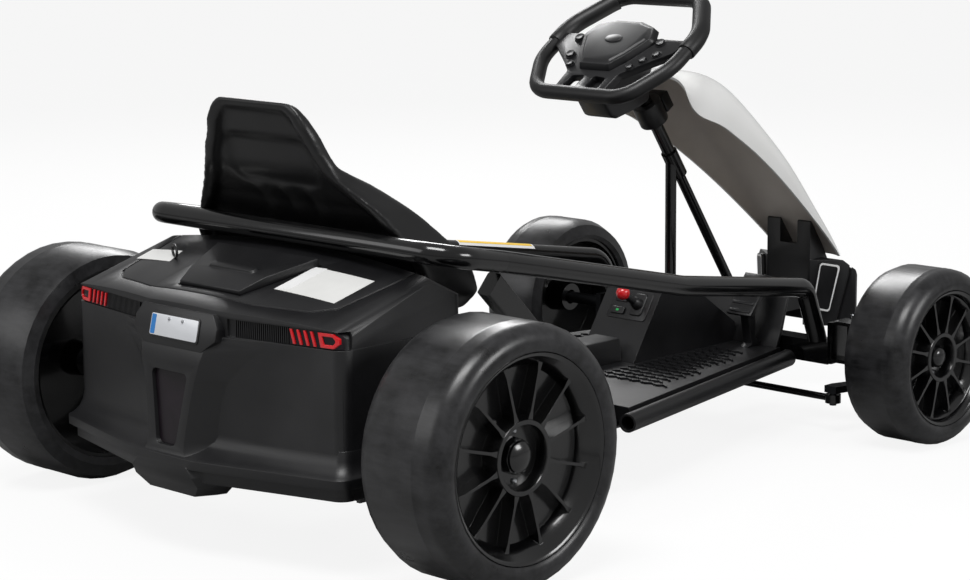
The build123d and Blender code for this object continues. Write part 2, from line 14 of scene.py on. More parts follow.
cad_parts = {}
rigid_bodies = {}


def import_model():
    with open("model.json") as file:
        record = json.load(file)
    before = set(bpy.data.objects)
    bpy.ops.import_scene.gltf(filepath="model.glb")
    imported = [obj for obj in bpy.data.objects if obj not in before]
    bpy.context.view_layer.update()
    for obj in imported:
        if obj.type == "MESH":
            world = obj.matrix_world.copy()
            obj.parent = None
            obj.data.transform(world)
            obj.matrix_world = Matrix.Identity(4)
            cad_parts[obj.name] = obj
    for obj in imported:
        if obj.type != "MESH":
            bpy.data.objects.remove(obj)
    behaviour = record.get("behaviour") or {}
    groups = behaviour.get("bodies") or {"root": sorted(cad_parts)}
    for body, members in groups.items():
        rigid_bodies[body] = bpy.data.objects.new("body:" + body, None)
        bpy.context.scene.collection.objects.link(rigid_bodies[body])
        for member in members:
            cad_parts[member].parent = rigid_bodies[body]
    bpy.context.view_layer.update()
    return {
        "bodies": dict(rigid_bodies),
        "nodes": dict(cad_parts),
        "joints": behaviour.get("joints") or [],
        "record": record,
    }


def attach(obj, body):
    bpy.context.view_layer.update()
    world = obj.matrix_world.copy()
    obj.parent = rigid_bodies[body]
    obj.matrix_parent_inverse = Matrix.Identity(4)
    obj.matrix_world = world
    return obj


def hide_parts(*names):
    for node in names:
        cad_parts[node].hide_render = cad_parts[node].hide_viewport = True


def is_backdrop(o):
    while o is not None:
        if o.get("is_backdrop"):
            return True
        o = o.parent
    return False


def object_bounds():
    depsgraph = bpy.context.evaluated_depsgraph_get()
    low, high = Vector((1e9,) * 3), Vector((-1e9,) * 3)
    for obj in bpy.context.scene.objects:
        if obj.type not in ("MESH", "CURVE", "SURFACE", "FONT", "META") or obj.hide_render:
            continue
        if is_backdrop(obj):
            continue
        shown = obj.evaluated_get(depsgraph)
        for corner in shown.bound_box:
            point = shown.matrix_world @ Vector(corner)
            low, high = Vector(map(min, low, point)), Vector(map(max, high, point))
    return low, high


LOG = logging.getLogger("kart")
MM = 0.001
REAR_AXLE_X = -371.5
SIDES = (("left", 1), ("right", -1))
X, Y, Z = Vector((1, 0, 0)), Vector((0, 1, 0)), Vector((0, 0, 1))
# upwards along the steering wheel, square to its column
WHEEL_UP = Vector((0.827081, 0, 0.562083))
COLUMN_FOOT = 159.0
Point = tuple[float, float, float]
Flat = tuple[float, float]


def linear(colour: str) -> tuple[float, float, float, float]:
    """Turns an sRGB hex colour to linear light.

    Args:
        colour: six hex digits, such as "1c1c1e".

    Returns:
        Red, green, blue and an alpha of 1.
    """
    parts = [int(colour[i:i + 2], 16) / 255 for i in (0, 2, 4)]
    return (*[c / 12.92 if c <= 0.04045 else ((c + 0.055) / 1.055) ** 2.4 for c in parts], 1.0)


def add_node(tree: bpy.types.NodeTree, kind: str, values: dict | None = None,
             links: dict | None = None, **settings: object) -> bpy.types.Node:
    """Adds one node with its settings and links.

    Args:
        tree: the material's node tree.
        kind: Blender's name for the node.
        values: numbers or colours by input.
        links: output sockets by input.
        settings: the node's own properties.

    Returns:
        The new node.
    """
    item = tree.nodes.new(kind)
    for name, value in settings.items():
        setattr(item, name, value)
    for name, value in (values or {}).items():
        item.inputs[name].default_value = value
    for name, source in (links or {}).items():
        tree.links.new(source, item.inputs[name])
    return item


class Wear(Enum):
    """How a finish shows use."""

    NEW = 0.0
    HANDLED = 0.5
    SCUFFED = 1.0


@dataclass(frozen=True)
class Finish:
    """A finish: what the real material is, how it was made, and what that gives the eye.

    Sizes are in mm, on the object. Colours are sRGB hex.
    """

    name: str
    colour: str
    second: str
    roughness: float
    ior: float = 1.5
    metallic: float = 0.0
    coat: float = 0.0
    grain_size: float = 1.2
    grain_depth: float = 0.03
    cloud_size: float = 60.0
    spread: float = 0.08
    edge: float = 0.0
    wear: Wear = Wear.NEW
    emission: float = 0.0

    def material(self) -> bpy.types.Material:
        """Gives the finish's material, made at its first use."""
        made = bpy.data.materials.get(self.name)
        if made is None:
            made = bpy.data.materials.new(self.name)
            made.use_nodes = True
            made.node_tree.nodes.clear()
            made.diffuse_color = linear(self.colour)
            self.build(made.node_tree)
        return made

    def build(self, tree: bpy.types.NodeTree) -> None:
        """Lays out the nodes.

        Args:
            tree: the empty node tree of the material.
        """
        place = add_node(tree, "ShaderNodeTexCoord").outputs["Object"]
        cloud = add_node(tree, "ShaderNodeTexNoise",
                         {"Scale": 1000 / self.cloud_size, "Detail": 4.0, "Roughness": 0.6},
                         {"Vector": place})
        grain = add_node(tree, "ShaderNodeTexNoise",
                         {"Scale": 1000 / self.grain_size, "Detail": 2.0, "Roughness": 0.5},
                         {"Vector": place})
        blend = cloud.outputs["Fac"]
        if self.wear is not Wear.NEW:
            blend = self.scuffs(tree, place, blend)
        colour = self.mixed(tree, blend)
        rough = add_node(tree, "ShaderNodeMapRange",
                         {"To Min": max(self.roughness - self.spread, 0.03),
                          "To Max": min(self.roughness + self.spread, 1.0)},
                         {"Value": cloud.outputs["Fac"]})
        height = add_node(tree, "ShaderNodeMath", {1: self.grain_depth * MM},
                          {0: grain.outputs["Fac"]}, operation="MULTIPLY")
        bump = add_node(tree, "ShaderNodeBump", {"Strength": 1.0, "Distance": 1.0},
                        {"Height": height.outputs[0]})
        if self.edge:
            rounded = add_node(tree, "ShaderNodeBevel", {"Radius": self.edge * MM}, samples=4)
            tree.links.new(rounded.outputs["Normal"], bump.inputs["Normal"])
        shader = add_node(tree, "ShaderNodeBsdfPrincipled",
                          {"Metallic": self.metallic, "IOR": self.ior, "Coat Weight": self.coat,
                           "Coat Roughness": 0.08},
                          {"Base Color": colour, "Roughness": rough.outputs[0],
                           "Normal": bump.outputs[0]})
        if self.emission:
            shader.inputs["Emission Color"].default_value = linear(self.colour)
            shader.inputs["Emission Strength"].default_value = self.emission
        add_node(tree, "ShaderNodeOutputMaterial", links={"Surface": shader.outputs[0]})

    def mixed(self, tree: bpy.types.NodeTree, share: bpy.types.NodeSocket) -> bpy.types.NodeSocket:
        """Mixes the two colours.

        Args:
            tree: the node tree.
            share: how much of the second colour, from 0 to 1.

        Returns:
            The mixed colour.
        """
        ramp = add_node(tree, "ShaderNodeValToRGB", links={"Fac": share})
        ramp.color_ramp.elements[0].position = 0.35
        ramp.color_ramp.elements[0].color = linear(self.colour)
        ramp.color_ramp.elements[1].position = 0.75
        ramp.color_ramp.elements[1].color = linear(self.second)
        return ramp.outputs["Color"]

    def scuffs(self, tree: bpy.types.NodeTree, place: bpy.types.NodeSocket,
               cloud: bpy.types.NodeSocket) -> bpy.types.NodeSocket:
        """Adds fine rubbed streaks to the cloudy share.

        Args:
            tree: the node tree.
            place: the point on the piece.
            cloud: the cloudy share.

        Returns:
            The share with streaks, from 0 to 1.
        """
        # rubbed marks are some 9 mm wide and five times as long
        stretched = add_node(tree, "ShaderNodeMapping", {"Scale": (1.0, 0.2, 1.0)},
                             {"Vector": place})
        streak = add_node(tree, "ShaderNodeTexNoise",
                          {"Scale": 1000 / 9.0, "Detail": 6.0, "Roughness": 0.7},
                          {"Vector": stretched.outputs[0]})
        level = add_node(tree, "ShaderNodeMath", {1: self.wear.value},
                         {0: streak.outputs["Fac"]}, operation="MULTIPLY")
        both = add_node(tree, "ShaderNodeMath", links={0: cloud, 1: level.outputs[0]},
                        operation="ADD")
        return add_node(tree, "ShaderNodeMath", {1: 0.5}, {0: both.outputs[0]},
                        operation="MULTIPLY").outputs[0]


# Black ABS mouldings with a spark-eroded texture: dull, with broad soft highlights
COVER_ABS = Finish("abs_textured_black", "0d0d0f", "141416", 0.40, ior=1.53, grain_size=1.6,
                   grain_depth=0.05, edge=0.8)
# Blow-moulded polyethylene of the seat: waxy and a little shinier on its crests
SEAT_PE = Finish("polyethylene_blow_moulded", "09090a", "0e0e0f", 0.34, ior=1.51, grain_size=1.3,
                 grain_depth=0.04, cloud_size=90)
# Mild steel tube with a gloss black powder coat: mirror-like streaks, faint orange peel
POWDER = Finish("steel_powder_coated_gloss", "060607", "0a0a0b", 0.17, coat=0.4, grain_size=3.0,
                grain_depth=0.015, spread=0.04)
# Rims moulded in black ABS from a polished tool: sharp, bright streaks along the ribs
RIM_ABS = Finish("abs_polished_black", "060607", "0a0a0b", 0.22, ior=1.53, coat=0.5, grain_size=4.0,
                 grain_depth=0.01, spread=0.04, edge=0.5)
# Slick tyres of hard polyurethane: satin, rubbed grey in streaks by use on the test floor
TYRE_PU = Finish("polyurethane_slick", "070708", "38383a", 0.31, grain_size=1.0, grain_depth=0.04,
                 cloud_size=34, spread=0.1, wear=Wear.SCUFFED)
# Rubber-like elastomer of the steering wheel's grips
GRIP_TPE = Finish("elastomer_soft_touch", "09090a", "101011", 0.45, grain_size=0.9,
                  grain_depth=0.05, wear=Wear.HANDLED)
# White ABS of the shield: the tool's polish outside; inside the same white ABS, with its shade
# painted in as a dull warm grey
SHIELD_ABS = Finish("abs_polished_white", "f7f7f6", "f4f4f2", 0.22, ior=1.53, coat=0.3,
                    grain_size=5.0, grain_depth=0.01, spread=0.04)
SHIELD_BACK_PAINTED_SHADE = Finish("abs_white_back_painted_shade", "d6cec6", "cac2ba", 0.5, ior=1.53, grain_size=2.0)
# Charcoal ABS of small fittings: even and half dull
PANEL_ABS = Finish("abs_moulded_charcoal", "101012", "161618", 0.34, ior=1.53, grain_size=1.0)
# White pad print: flat, with no grain
MARK_WHITE = Finish("pad_print_white", "e6e6e6", "dcdcdc", 0.45, grain_depth=0.0)
# Printed acrylic of the number plate: smooth, with a clear reflection
PLATE_ACRYLIC = Finish("acrylic_printed_white", "dfe1e5", "d9dbdf", 0.18, ior=1.49, coat=0.4,
                       grain_size=6.0, grain_depth=0.005)
# Blue vinyl film at the plate's edge
BLUE_FILM = Finish("vinyl_film_blue", "2d7cc4", "2a74b8", 0.3, grain_depth=0.0)
# Red polycarbonate of the tail lamps: deep colour, lit a little from inside
RED_LENS = Finish("polycarbonate_lens_red", "c8141c", "e02630", 0.14, ior=1.58, coat=0.5,
                  grain_size=3.0, grain_depth=0.01, emission=0.12)
# Red phenolic knob: a hard, wet-looking highlight
RED_KNOB = Finish("phenolic_knob_red", "c3161c", "d01d23", 0.15, ior=1.6, coat=0.5, grain_depth=0.0)
# Green pad print on the switch
GREEN_MARK = Finish("pad_print_green", "2fae5a", "2aa352", 0.4, grain_depth=0.0)
# Smoked polycarbonate: near black, with a faint violet cloud that is a painted reflection
SMOKED_PAINTED_REFLECTION = Finish("polycarbonate_smoked_painted_reflection", "050405", "1d141c", 0.34, ior=1.45, cloud_size=40,
                grain_depth=0.0)
# Paper labels: dull and slightly uneven
PAPER = Finish("paper_label_white", "dcdcda", "d2d2d0", 0.5, grain_size=0.8, grain_depth=0.01)
# Yellow vinyl film on the rail
YELLOW_FILM = Finish("vinyl_label_yellow", "f0c419", "e6b912", 0.38, grain_depth=0.0)
# Zinc-plated steel of the screws: bright metal, softly blurred
ZINC = Finish("zinc_plated_steel", "c4c6c9", "9fa2a6", 0.28, metallic=1.0, grain_size=1.5,
              grain_depth=0.01)
# Phosphated steel of motors, axle and knuckles: dark, greasy metal
GREY_STEEL = Finish("steel_phosphated", "4a4b4e", "36373a", 0.38, metallic=1.0, grain_size=1.5)
# ABS of the battery's case: dull dark grey
BATTERY_CASE = Finish("abs_battery_case", "1c1d1f", "161719", 0.42, grain_size=1.2)


def P(distance: float, y: float, z: float) -> Vector:
    """Gives a point in mm.

    Args:
        distance: how far it lies ahead of the rear axle.
        y: how far to the left.
        z: how high.

    Returns:
        The point in the frame's directions.
    """
    return Vector((REAR_AXLE_X + distance, y, z))


def mirror(half: list[Flat]) -> list[Flat]:
    """Closes an outline over the middle.

    Args:
        half: its left half as (along, y).

    Returns:
        The whole outline.
    """
    return [*half, *[(a, -y) for a, y in reversed(half)]]


def twin(half: list[Flat]) -> list[Flat]:
    """Closes an outline seen from behind over the middle.

    Args:
        half: its left half as (y, z).

    Returns:
        The whole outline.
    """
    return [*half, *[(-y, z) for y, z in reversed(half)]]


def box(left: float, low: float, right: float, high: float) -> list[Flat]:
    """Gives a rectangle's corners.

    Args:
        left: its first u.
        low: its first v.
        right: its last u.
        high: its last v.

    Returns:
        Four corners in order.
    """
    return [(left, low), (right, low), (right, high), (left, high)]


def circle(radius: float, count: int, u: float = 0.0, v: float = 0.0) -> list[Flat]:
    """Gives points on a circle.

    Args:
        radius: its radius.
        count: how many points.
        u: its middle.
        v: its middle.

    Returns:
        The points in order.
    """
    return [(u + radius * math.cos(2 * math.pi * k / count),
             v + radius * math.sin(2 * math.pi * k / count)) for k in range(count)]


def mesh_of(work: bmesh.types.BMesh, name: str) -> bpy.types.Mesh:
    """Turns a work mesh into a mesh and frees it.

    Args:
        work: the work mesh.
        name: the new mesh's name.

    Returns:
        The mesh.
    """
    mesh = bpy.data.meshes.new(name)
    work.to_mesh(mesh)
    work.free()
    return mesh


def linked(name: str, data: bpy.types.ID) -> bpy.types.Object:
    """Makes an object and puts it in the scene.

    Args:
        name: its name.
        data: its mesh, lamp or camera.

    Returns:
        The object.
    """
    item = bpy.data.objects.new(name, data)
    bpy.context.scene.collection.objects.link(item)
    return item


def rounded(points: list[Flat], radii: float | list[float], steps: int = 5) -> list[Flat]:
    """Rounds the corners of a closed outline.

    Args:
        points: the corners in order.
        radii: one radius for all, or one per corner.
        steps: how many points an arc gets.

    Returns:
        The outline with arcs for corners.
    """
    out: list[Flat] = []
    count = len(points)
    sizes = radii if isinstance(radii, list) else [radii] * count
    for i, radius in enumerate(sizes):
        here = Vector(points[i])
        back = Vector(points[i - 1]) - here
        on = Vector(points[(i + 1) % count]) - here
        half = back.angle(on) / 2
        reach = min(radius / math.tan(half), 0.49 * back.length, 0.49 * on.length) if radius else 0
        if reach < 0.01 or half > 1.54:
            out.append(tuple(here))
            continue
        size = reach * math.tan(half)
        start = here + back.normalized() * reach
        end = here + on.normalized() * reach
        middle = here + (back.normalized() + on.normalized()).normalized() * (size / math.sin(half))
        a, b = start - middle, end - middle
        turn = a.angle(b)
        for step in range(steps + 1):
            t = step / steps
            v = (a * (math.sin((1 - t) * turn) / math.sin(turn)) +
                 b * (math.sin(t * turn) / math.sin(turn)))
            out.append(tuple(middle + v))
    return out


class Solid:
    """A closed mesh in mm that grows by joining and cutting blocks."""

    def __init__(self, rings: list[list[Vector]], closed: bool = False) -> None:
        """Lofts a skin over rings of equal count.

        Args:
            rings: the sections in order.
            closed: True where the last ring meets the first, with no end faces.
        """
        self.bm = bmesh.new()
        made = [[self.bm.verts.new(p) for p in ring] for ring in rings]
        pairs = list(zip(made, made[1:])) + ([(made[-1], made[0])] if closed else [])
        count = len(rings[0])
        for one, two in pairs:
            for i in range(count):
                j = (i + 1) % count
                self.bm.faces.new((one[i], one[j], two[j], two[i]))
        if not closed:
            self.bm.faces.new(list(reversed(made[0])))
            self.bm.faces.new(made[-1])
        bmesh.ops.recalc_face_normals(self.bm, faces=self.bm.faces)

    @classmethod
    def side(cls, outline: list[Flat], low: float, high: float) -> "Solid":
        """Makes a block from a side view given as (distance, z), between two y."""
        return cls([[P(d, y, z) for d, z in outline] for y in (low, high)])

    @classmethod
    def plan(cls, outline: list[Flat], low: float, high: float) -> "Solid":
        """Makes a block from a plan given as (distance, y), between two heights."""
        return cls([[P(d, y, z) for d, y in outline] for z in (low, high)])

    @classmethod
    def rear(cls, outline: list[Flat], low: float, high: float) -> "Solid":
        """Makes a block from a view along the kart given as (y, z), between two distances."""
        return cls([[P(d, y, z) for y, z in outline] for d in (low, high)])

    def blend(self, other: "Solid", operation: str) -> "Solid":
        """Joins, cuts or intersects with another solid.

        Args:
            other: the tool; it is used up.
            operation: UNION, DIFFERENCE or INTERSECT.

        Returns:
            This solid.
        """
        items = [linked("work", mesh_of(solid.bm, "work")) for solid in (self, other)]
        cutter = items[0].modifiers.new("work", "BOOLEAN")
        cutter.operation = operation
        cutter.solver = "EXACT"
        cutter.object = items[1]
        graph = bpy.context.evaluated_depsgraph_get()
        graph.update()
        result = bpy.data.meshes.new_from_object(items[0].evaluated_get(graph))
        self.bm = bmesh.new()
        self.bm.from_mesh(result)
        for item in items:
            mesh = item.data
            bpy.data.objects.remove(item)
            bpy.data.meshes.remove(mesh)
        bpy.data.meshes.remove(result)
        return self

    def join(self, other: "Solid") -> "Solid":
        """Joins another solid to this one."""
        return self.blend(other, "UNION")

    def cut(self, other: "Solid") -> "Solid":
        """Takes another solid away from this one."""
        return self.blend(other, "DIFFERENCE")

    def limit(self, other: "Solid") -> "Solid":
        """Keeps what lies inside another solid."""
        return self.blend(other, "INTERSECT")

    def gather(self, other: "Solid") -> "Solid":
        """Puts another solid's skin beside this one's, uncut.

        Args:
            other: the solid; it is used up.

        Returns:
            This solid.
        """
        mesh = mesh_of(other.bm, "work")
        self.bm.from_mesh(mesh)
        bpy.data.meshes.remove(mesh)
        return self

    def piece(self, name: str, finish: Finish, body: str, slot: str, bevel: float = 0.8,
              replaces: tuple[str, ...] = (), segments: int = 2, angle: float = 32,
              flatten: bool = True) -> bpy.types.Object:
        """Turns the solid into a piece of the kart.

        Args:
            name: the piece's name.
            finish: its finish.
            body: the body it rides.
            slot: the record's material slot; not used.
            bevel: the radius of its edges in mm.
            replaces: the nodes it stands for.
            segments: how many faces a rounded edge gets.
            angle: edges sharper than this, in degrees, are rounded.
            flatten: whether flat neighbouring faces become one.

        Returns:
            The piece.
        """
        bmesh.ops.remove_doubles(self.bm, verts=self.bm.verts, dist=0.005)
        if bevel and flatten:
            bmesh.ops.dissolve_limit(self.bm, angle_limit=math.radians(0.6), verts=self.bm.verts,
                                     edges=self.bm.edges)
        bmesh.ops.scale(self.bm, vec=(MM, MM, MM), verts=self.bm.verts)
        return dress_mesh(name, mesh_of(self.bm, name), finish, body, bevel, replaces,
                          segments, angle)


def gathered(solids: Iterable[Solid]) -> Solid:
    """Puts the skins of several solids into one, uncut.

    Args:
        solids: at least one solid.

    Returns:
        The one solid.
    """
    first, *others = solids
    for other in others:
        first.gather(other)
    return first


def settle(item: bpy.types.Object) -> None:
    """Applies an object's modifiers to its mesh.

    Args:
        item: the object.
    """
    graph = bpy.context.evaluated_depsgraph_get()
    graph.update()
    old = item.data
    new = bpy.data.meshes.new_from_object(item.evaluated_get(graph))
    item.modifiers.clear()
    item.data = new
    new.name = item.name
    bpy.data.meshes.remove(old)


def dress_mesh(name: str, mesh: bpy.types.Mesh, finish: Finish, body: str,
               bevel: float = 0.0, replaces: tuple[str, ...] = (), segments: int = 2,
               angle: float = 32) -> bpy.types.Object:
    """Args:
        name: the piece's name.
        mesh: its mesh.
        finish: its finish.
        body: the body it rides.
        bevel: the radius of its edges in mm.
        replaces: the nodes it stands for.
        segments: how many faces a rounded edge gets.
        angle: edges sharper than this, in degrees, are rounded.

    Returns:
        The piece.
    """
    item = linked(name, mesh)
    mesh.materials.append(finish.material())
    if bevel:
        edge = item.modifiers.new("edge", "BEVEL")
        edge.width = bevel * MM
        edge.segments = segments
        edge.limit_method = "ANGLE"
        edge.angle_limit = math.radians(angle)
        settle(item)
    mesh = item.data
    mesh.shade_smooth()
    mesh.set_sharp_from_angle(angle=math.radians(38))
    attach(item, body)
    if replaces:
        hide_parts(*replaces)
    LOG.info("%s: %d faces on %s", name, len(mesh.polygons), body)
    return item


@dataclass
class Plane:
    """A flat place in space with its own two directions."""

    origin: Vector
    x: Vector
    y: Vector

    @property
    def normal(self) -> Vector:
        """The direction out of the plane."""
        return self.x.cross(self.y).normalized()

    def at(self, u: float, v: float, out: float = 0.0) -> Vector:
        """Gives the point at u, v on the plane and out from it."""
        return self.origin + self.x * u + self.y * v + self.normal * out

    def block(self, outline: list[Flat], low: float, high: float, shrink: float = 1.0) -> Solid:
        """Makes a block on the plane.

        Args:
            outline: the corners as (u, v).
            low: where it starts, out from the plane.
            high: where it ends.
            shrink: the size of its outer end, as a share of its foot.

        Returns:
            The block.
        """
        cu = sum(u for u, _ in outline) / len(outline)
        cv = sum(v for _, v in outline) / len(outline)
        top = [(cu + (u - cu) * shrink, cv + (v - cv) * shrink) for u, v in outline]
        return Solid([[self.at(u, v, low) for u, v in outline],
                      [self.at(u, v, high) for u, v in top]])

    def turned(self, profile: list[Flat], count: int = 48, u: float = 0.0, v: float = 0.0,
               closed: bool = False) -> Solid:
        """Turns a profile of (radius, out) round the plane's normal.

        Args:
            profile: the points; both ends lie on the axis unless it is closed.
            count: how many steps make the circle.
            u: the axis's place.
            v: the axis's place.
            closed: True for a ring, whose profile is a closed outline.

        Returns:
            The turned solid.
        """
        # a point on the axis keeps a hair's width, so that every ring has its own corners
        return Solid([[self.at(*place, out) for place in circle(max(radius, 0.02), count, u, v)]
                      for radius, out in profile], closed)


def pipe(path: list[Vector], radius: float, sides: int = 16, closed: bool = False) -> Solid:
    """Makes a round bar along a path.

    Args:
        path: the points of its middle line.
        radius: its radius in mm.
        sides: how many faces go round it.
        closed: True where the path ends where it starts.

    Returns:
        The bar.
    """
    rings = []
    count = len(path)
    side = None
    for i, here in enumerate(path):
        before = path[i - 1] if i or closed else here
        after = path[(i + 1) % count] if i < count - 1 or closed else here
        along = (after - before).normalized()
        if side is None:
            side = along.orthogonal().normalized()
        side = (side - along * side.dot(along)).normalized()
        other = along.cross(side)
        rings.append([here + side * u + other * v for u, v in circle(radius, sides)])
    return Solid(rings, closed)


@dataclass
class RearCover:
    """The moulded cover over the rear axle, with its lamps, number plate, lid and labels."""

    half_width: float = 200.0
    front: float = 78.0
    wall: float = 3.5
    crown: float = 13.3
    deck_height: float = 272.5
    deck_rise: float = 0.29
    deck_fall: float = 0.5
    crest: float = 33.0
    shoulder: float = 24.0
    corner: float = 14.0
    skirt_low: float = 75.0
    skirt_edge: float = 88.0
    skirt_top: float = 97.0
    skirt_flare: float = 13.0
    lamp_low: float = 216.0
    lamp_high: float = 233.0

    def deck(self, distance: float, y: float) -> float:
        """Gives the deck's height at a place.

        Args:
            distance: how far it lies ahead of the rear axle.
            y: how far to the left.

        Returns:
            The height.
        """
        top = self.deck_height + self.deck_rise * min(distance, self.crest)
        top -= self.deck_fall * max(distance - self.crest, 0)
        return top - self.crown * (y / self.half_width) ** 2

    def under(self, low: float, high: float, inset: float) -> Solid:
        """Makes a long block under one line of the deck, from one distance to another.

        Args:
            low: the distance where the line starts.
            high: the distance where it ends.
            inset: how much smaller the block is all round.

        Returns:
            The block, longer than the line at both ends.
        """
        half = self.half_width - inset
        run = P(high, 0, self.deck(high, 0)) - P(low, 0, self.deck(low, 0))
        run = run.normalized() * (run.length + 280)
        start = P(low, 0, self.deck(low, 0)) - run.normalized() * 140
        up = Vector((-run.normalized().z, 0, run.normalized().x))
        arc = [(half * k / 8, -inset - self.crown * (k / 8) ** 2) for k in range(8, -9, -1)]
        corners = rounded([*arc, (-half, -300), (half, -300)],
                          [self.shoulder - inset] + [0] * 15 + [self.shoulder - inset] + [0, 0], 6)
        ring = [start + Y * y + up * z for y, z in corners]
        return Solid([ring, [p + run for p in ring]])

    def shell(self, inset: float) -> Solid:
        """Makes the upper body, smaller all round by the inset.

        Args:
            inset: how much smaller.

        Returns:
            The upper body.
        """
        half = self.half_width - inset
        plan = rounded(mirror([(-112 + inset, 50), (-87 + inset, half),
                               (self.front - inset, half - 6)]),
                       [0, self.corner, self.corner, self.corner, self.corner, 0], 5)
        block = Solid.plan(plan, 88, 340)
        block.limit(self.under(-120, self.crest, inset))
        return block.limit(self.under(self.crest, self.front, inset))

    def low_plan(self, back: float, corner: float, outset: float) -> list[Flat]:
        """Gives a plan of the lower back and sides.

        Args:
            back: how far its middle lies behind the axle.
            corner: how far its corners lie behind the axle.
            outset: how far it is moved out.

        Returns:
            The outline as (distance, y).
        """
        side = self.half_width + 0.8 * outset
        return rounded(mirror([(-back - outset, 44), (-corner - 0.9 * outset, side),
                               (self.front, side)]), [0, self.corner, 0, 0, self.corner, 0], 5)

    def skirt_plan(self, outset: float) -> list[Flat]:
        """Gives the skirt's plan, moved out."""
        return self.low_plan(129, 87, outset)

    def panel_plan(self, outset: float) -> list[Flat]:
        """Gives the plan of the two flat panels beside the spine, moved out."""
        return self.low_plan(111, 86, outset)

    def strip(self, outline: list[Flat], top: float, floor: float) -> Solid:
        """Makes a raised form on the back, from a rear view and two depths under the skin."""
        return Solid.rear(outline, -140, -80).limit(self.shell(top)).cut(self.shell(floor))

    def body(self) -> None:
        """Builds the cover itself."""
        cover = self.shell(0)
        view = twin([(220, 75), (220, self.lamp_low), (76, self.lamp_low), (42, 199)])
        cover.join(Solid.plan(self.panel_plan(0), self.skirt_edge, self.lamp_low)
                   .limit(Solid.rear(view, -200, 100)))
        cover.join(Solid.plan(self.skirt_plan(6), self.skirt_low, self.skirt_top))
        cover.join(Solid.plan(self.skirt_plan(self.skirt_flare), self.skirt_edge, self.skirt_top))
        # the skirt's curved top runs in steps from its edge to the flat panels
        rings = []
        for z, share in ((self.skirt_top, 0), (99, 0.22), (102, 0.45), (106, 0.67), (112, 0.86),
                         (121, 0.98)):
            out = self.skirt_flare * (1 - share)
            rings.append([P(a * (1 - share) + b * share, y, z) for (a, y), (b, _) in
                          zip(self.skirt_plan(out), self.panel_plan(out))])
        cover.join(Solid(rings))
        hollow = self.shell(self.wall)
        hollow.cut(Solid.plan(mirror([(-140, 80), (-98, 80)]), 185, 265))
        cover.cut(hollow)
        half = self.half_width - self.wall
        cover.cut(Solid.plan(mirror([(-108, 36), (-111 + self.wall, 50), (-87 + self.wall, half),
                                     (self.front - self.wall, half)]), 45, 185))
        # the spine's sections: height, its face's distance, its face's and its foot's half width
        sections = ((215, -117, 47, 124), (208, -121, 47, 112), (199, -125.5, 46, 96),
                    (188, -128.5, 43, 80), (172, -130, 38, 66), (150, -132, 33, 57),
                    (125, -134.5, 29, 52), (110, -136, 27, 53), (102, -137.5, 28, 58),
                    (95, -139.5, 31, 66), (89, -142.5, 37, 66), (80, -142.5, 45, 60),
                    (70, -137, 47, 56), (58, -130, 34, 44))
        spine = Solid([[P(d, y, z) for d, y in mirror([(face, front), (0.16 * foot - 118, foot),
                                                       (0.16 * foot - 108, foot + 3)])]
                       for z, face, front, foot in sections])
        cover.join(spine)
        cover.cut(self.opening(0, -40, 7))
        lamp = Solid.plan(mirror([(-160, 220), (-74, 220)]), self.lamp_low, self.lamp_high)
        lamp.cut(self.shell(3.0)).cut(Solid.plan(mirror([(-160, 64), (-70, 64)]), 200, 250))
        cover.cut(lamp)
        plaque = twin([(52, 19), (61, 6), (61, -6), (43, -18.5)])
        cover.join(self.plate_plane().block(plaque, -18, 0)
                   .cut(Solid.plan(mirror([(-111, 90), (-60, 90)]), 180, 260)))
        groove = [(-89, 78), (-75, 142), (-57, 162), (60, 181)]
        channel = Solid.plan(mirror(groove), 200, 300)
        channel.cut(Solid.plan(mirror([(d + 2, y - 2) for d, y in groove]), 190, 310))
        cover.cut(channel.cut(self.shell(1.2)))
        # the axle's slot with its round top, the seat's place and the lid's opening
        for shape in (Solid.side(circle(22, 24, 0, 125), -230, 230),
                      Solid.side(box(-22, 40, 22, 125), -230, 230),
                      Solid.side(box(46, 213.5, 110, 320), -173, 173),
                      Solid.plan(mirror([(-79, 47), (2, 77)]), 246, 320)):
            cover.cut(shape)
        cover.piece("rear_cover_moulding", COVER_ABS, "chassis", "body_black", 1.6, ("rear_cover",),
                    flatten=False)

    def plate_plane(self) -> Plane:
        """Gives the plane of the number plate, leaning over the spine."""
        tilt = math.atan2(8.5, 36)
        return Plane(P(-121.2, 0, 218), -Y, X * math.sin(tilt) + Z * math.cos(tilt))

    def plate(self) -> None:
        """Builds the blank number plate with its blue band and two bolts."""
        plane = self.plate_plane()
        plane.block(rounded(box(-35, -10.5, 35, 10.5), 2.0), 0.1, 1.6).piece(
            "number_plate", PLATE_ACRYLIC, "chassis", "shield_white", 0.3)
        plane.block(rounded(box(-37, -12.5, 37, 12.5), 3.0), 0, 1.0).piece(
            "number_plate_frame", PANEL_ABS, "chassis", "body_black", 0.4)
        plane.block(rounded(box(-34, -9.5, -27.5, 9.5), 1.0), 1.5, 1.75).piece(
            "number_plate_band", BLUE_FILM, "chassis", "panel_grey", 0)
        head = [(0, 1.5), (1.7, 1.5), (1.7, 2.2), (1.1, 2.7), (0, 2.8)]
        bolts = gathered(plane.turned(head, 16, u, 7.2) for u in (-8, 12))
        bolts.piece("number_plate_bolts", ZINC, "chassis", "steel_grey", 0)

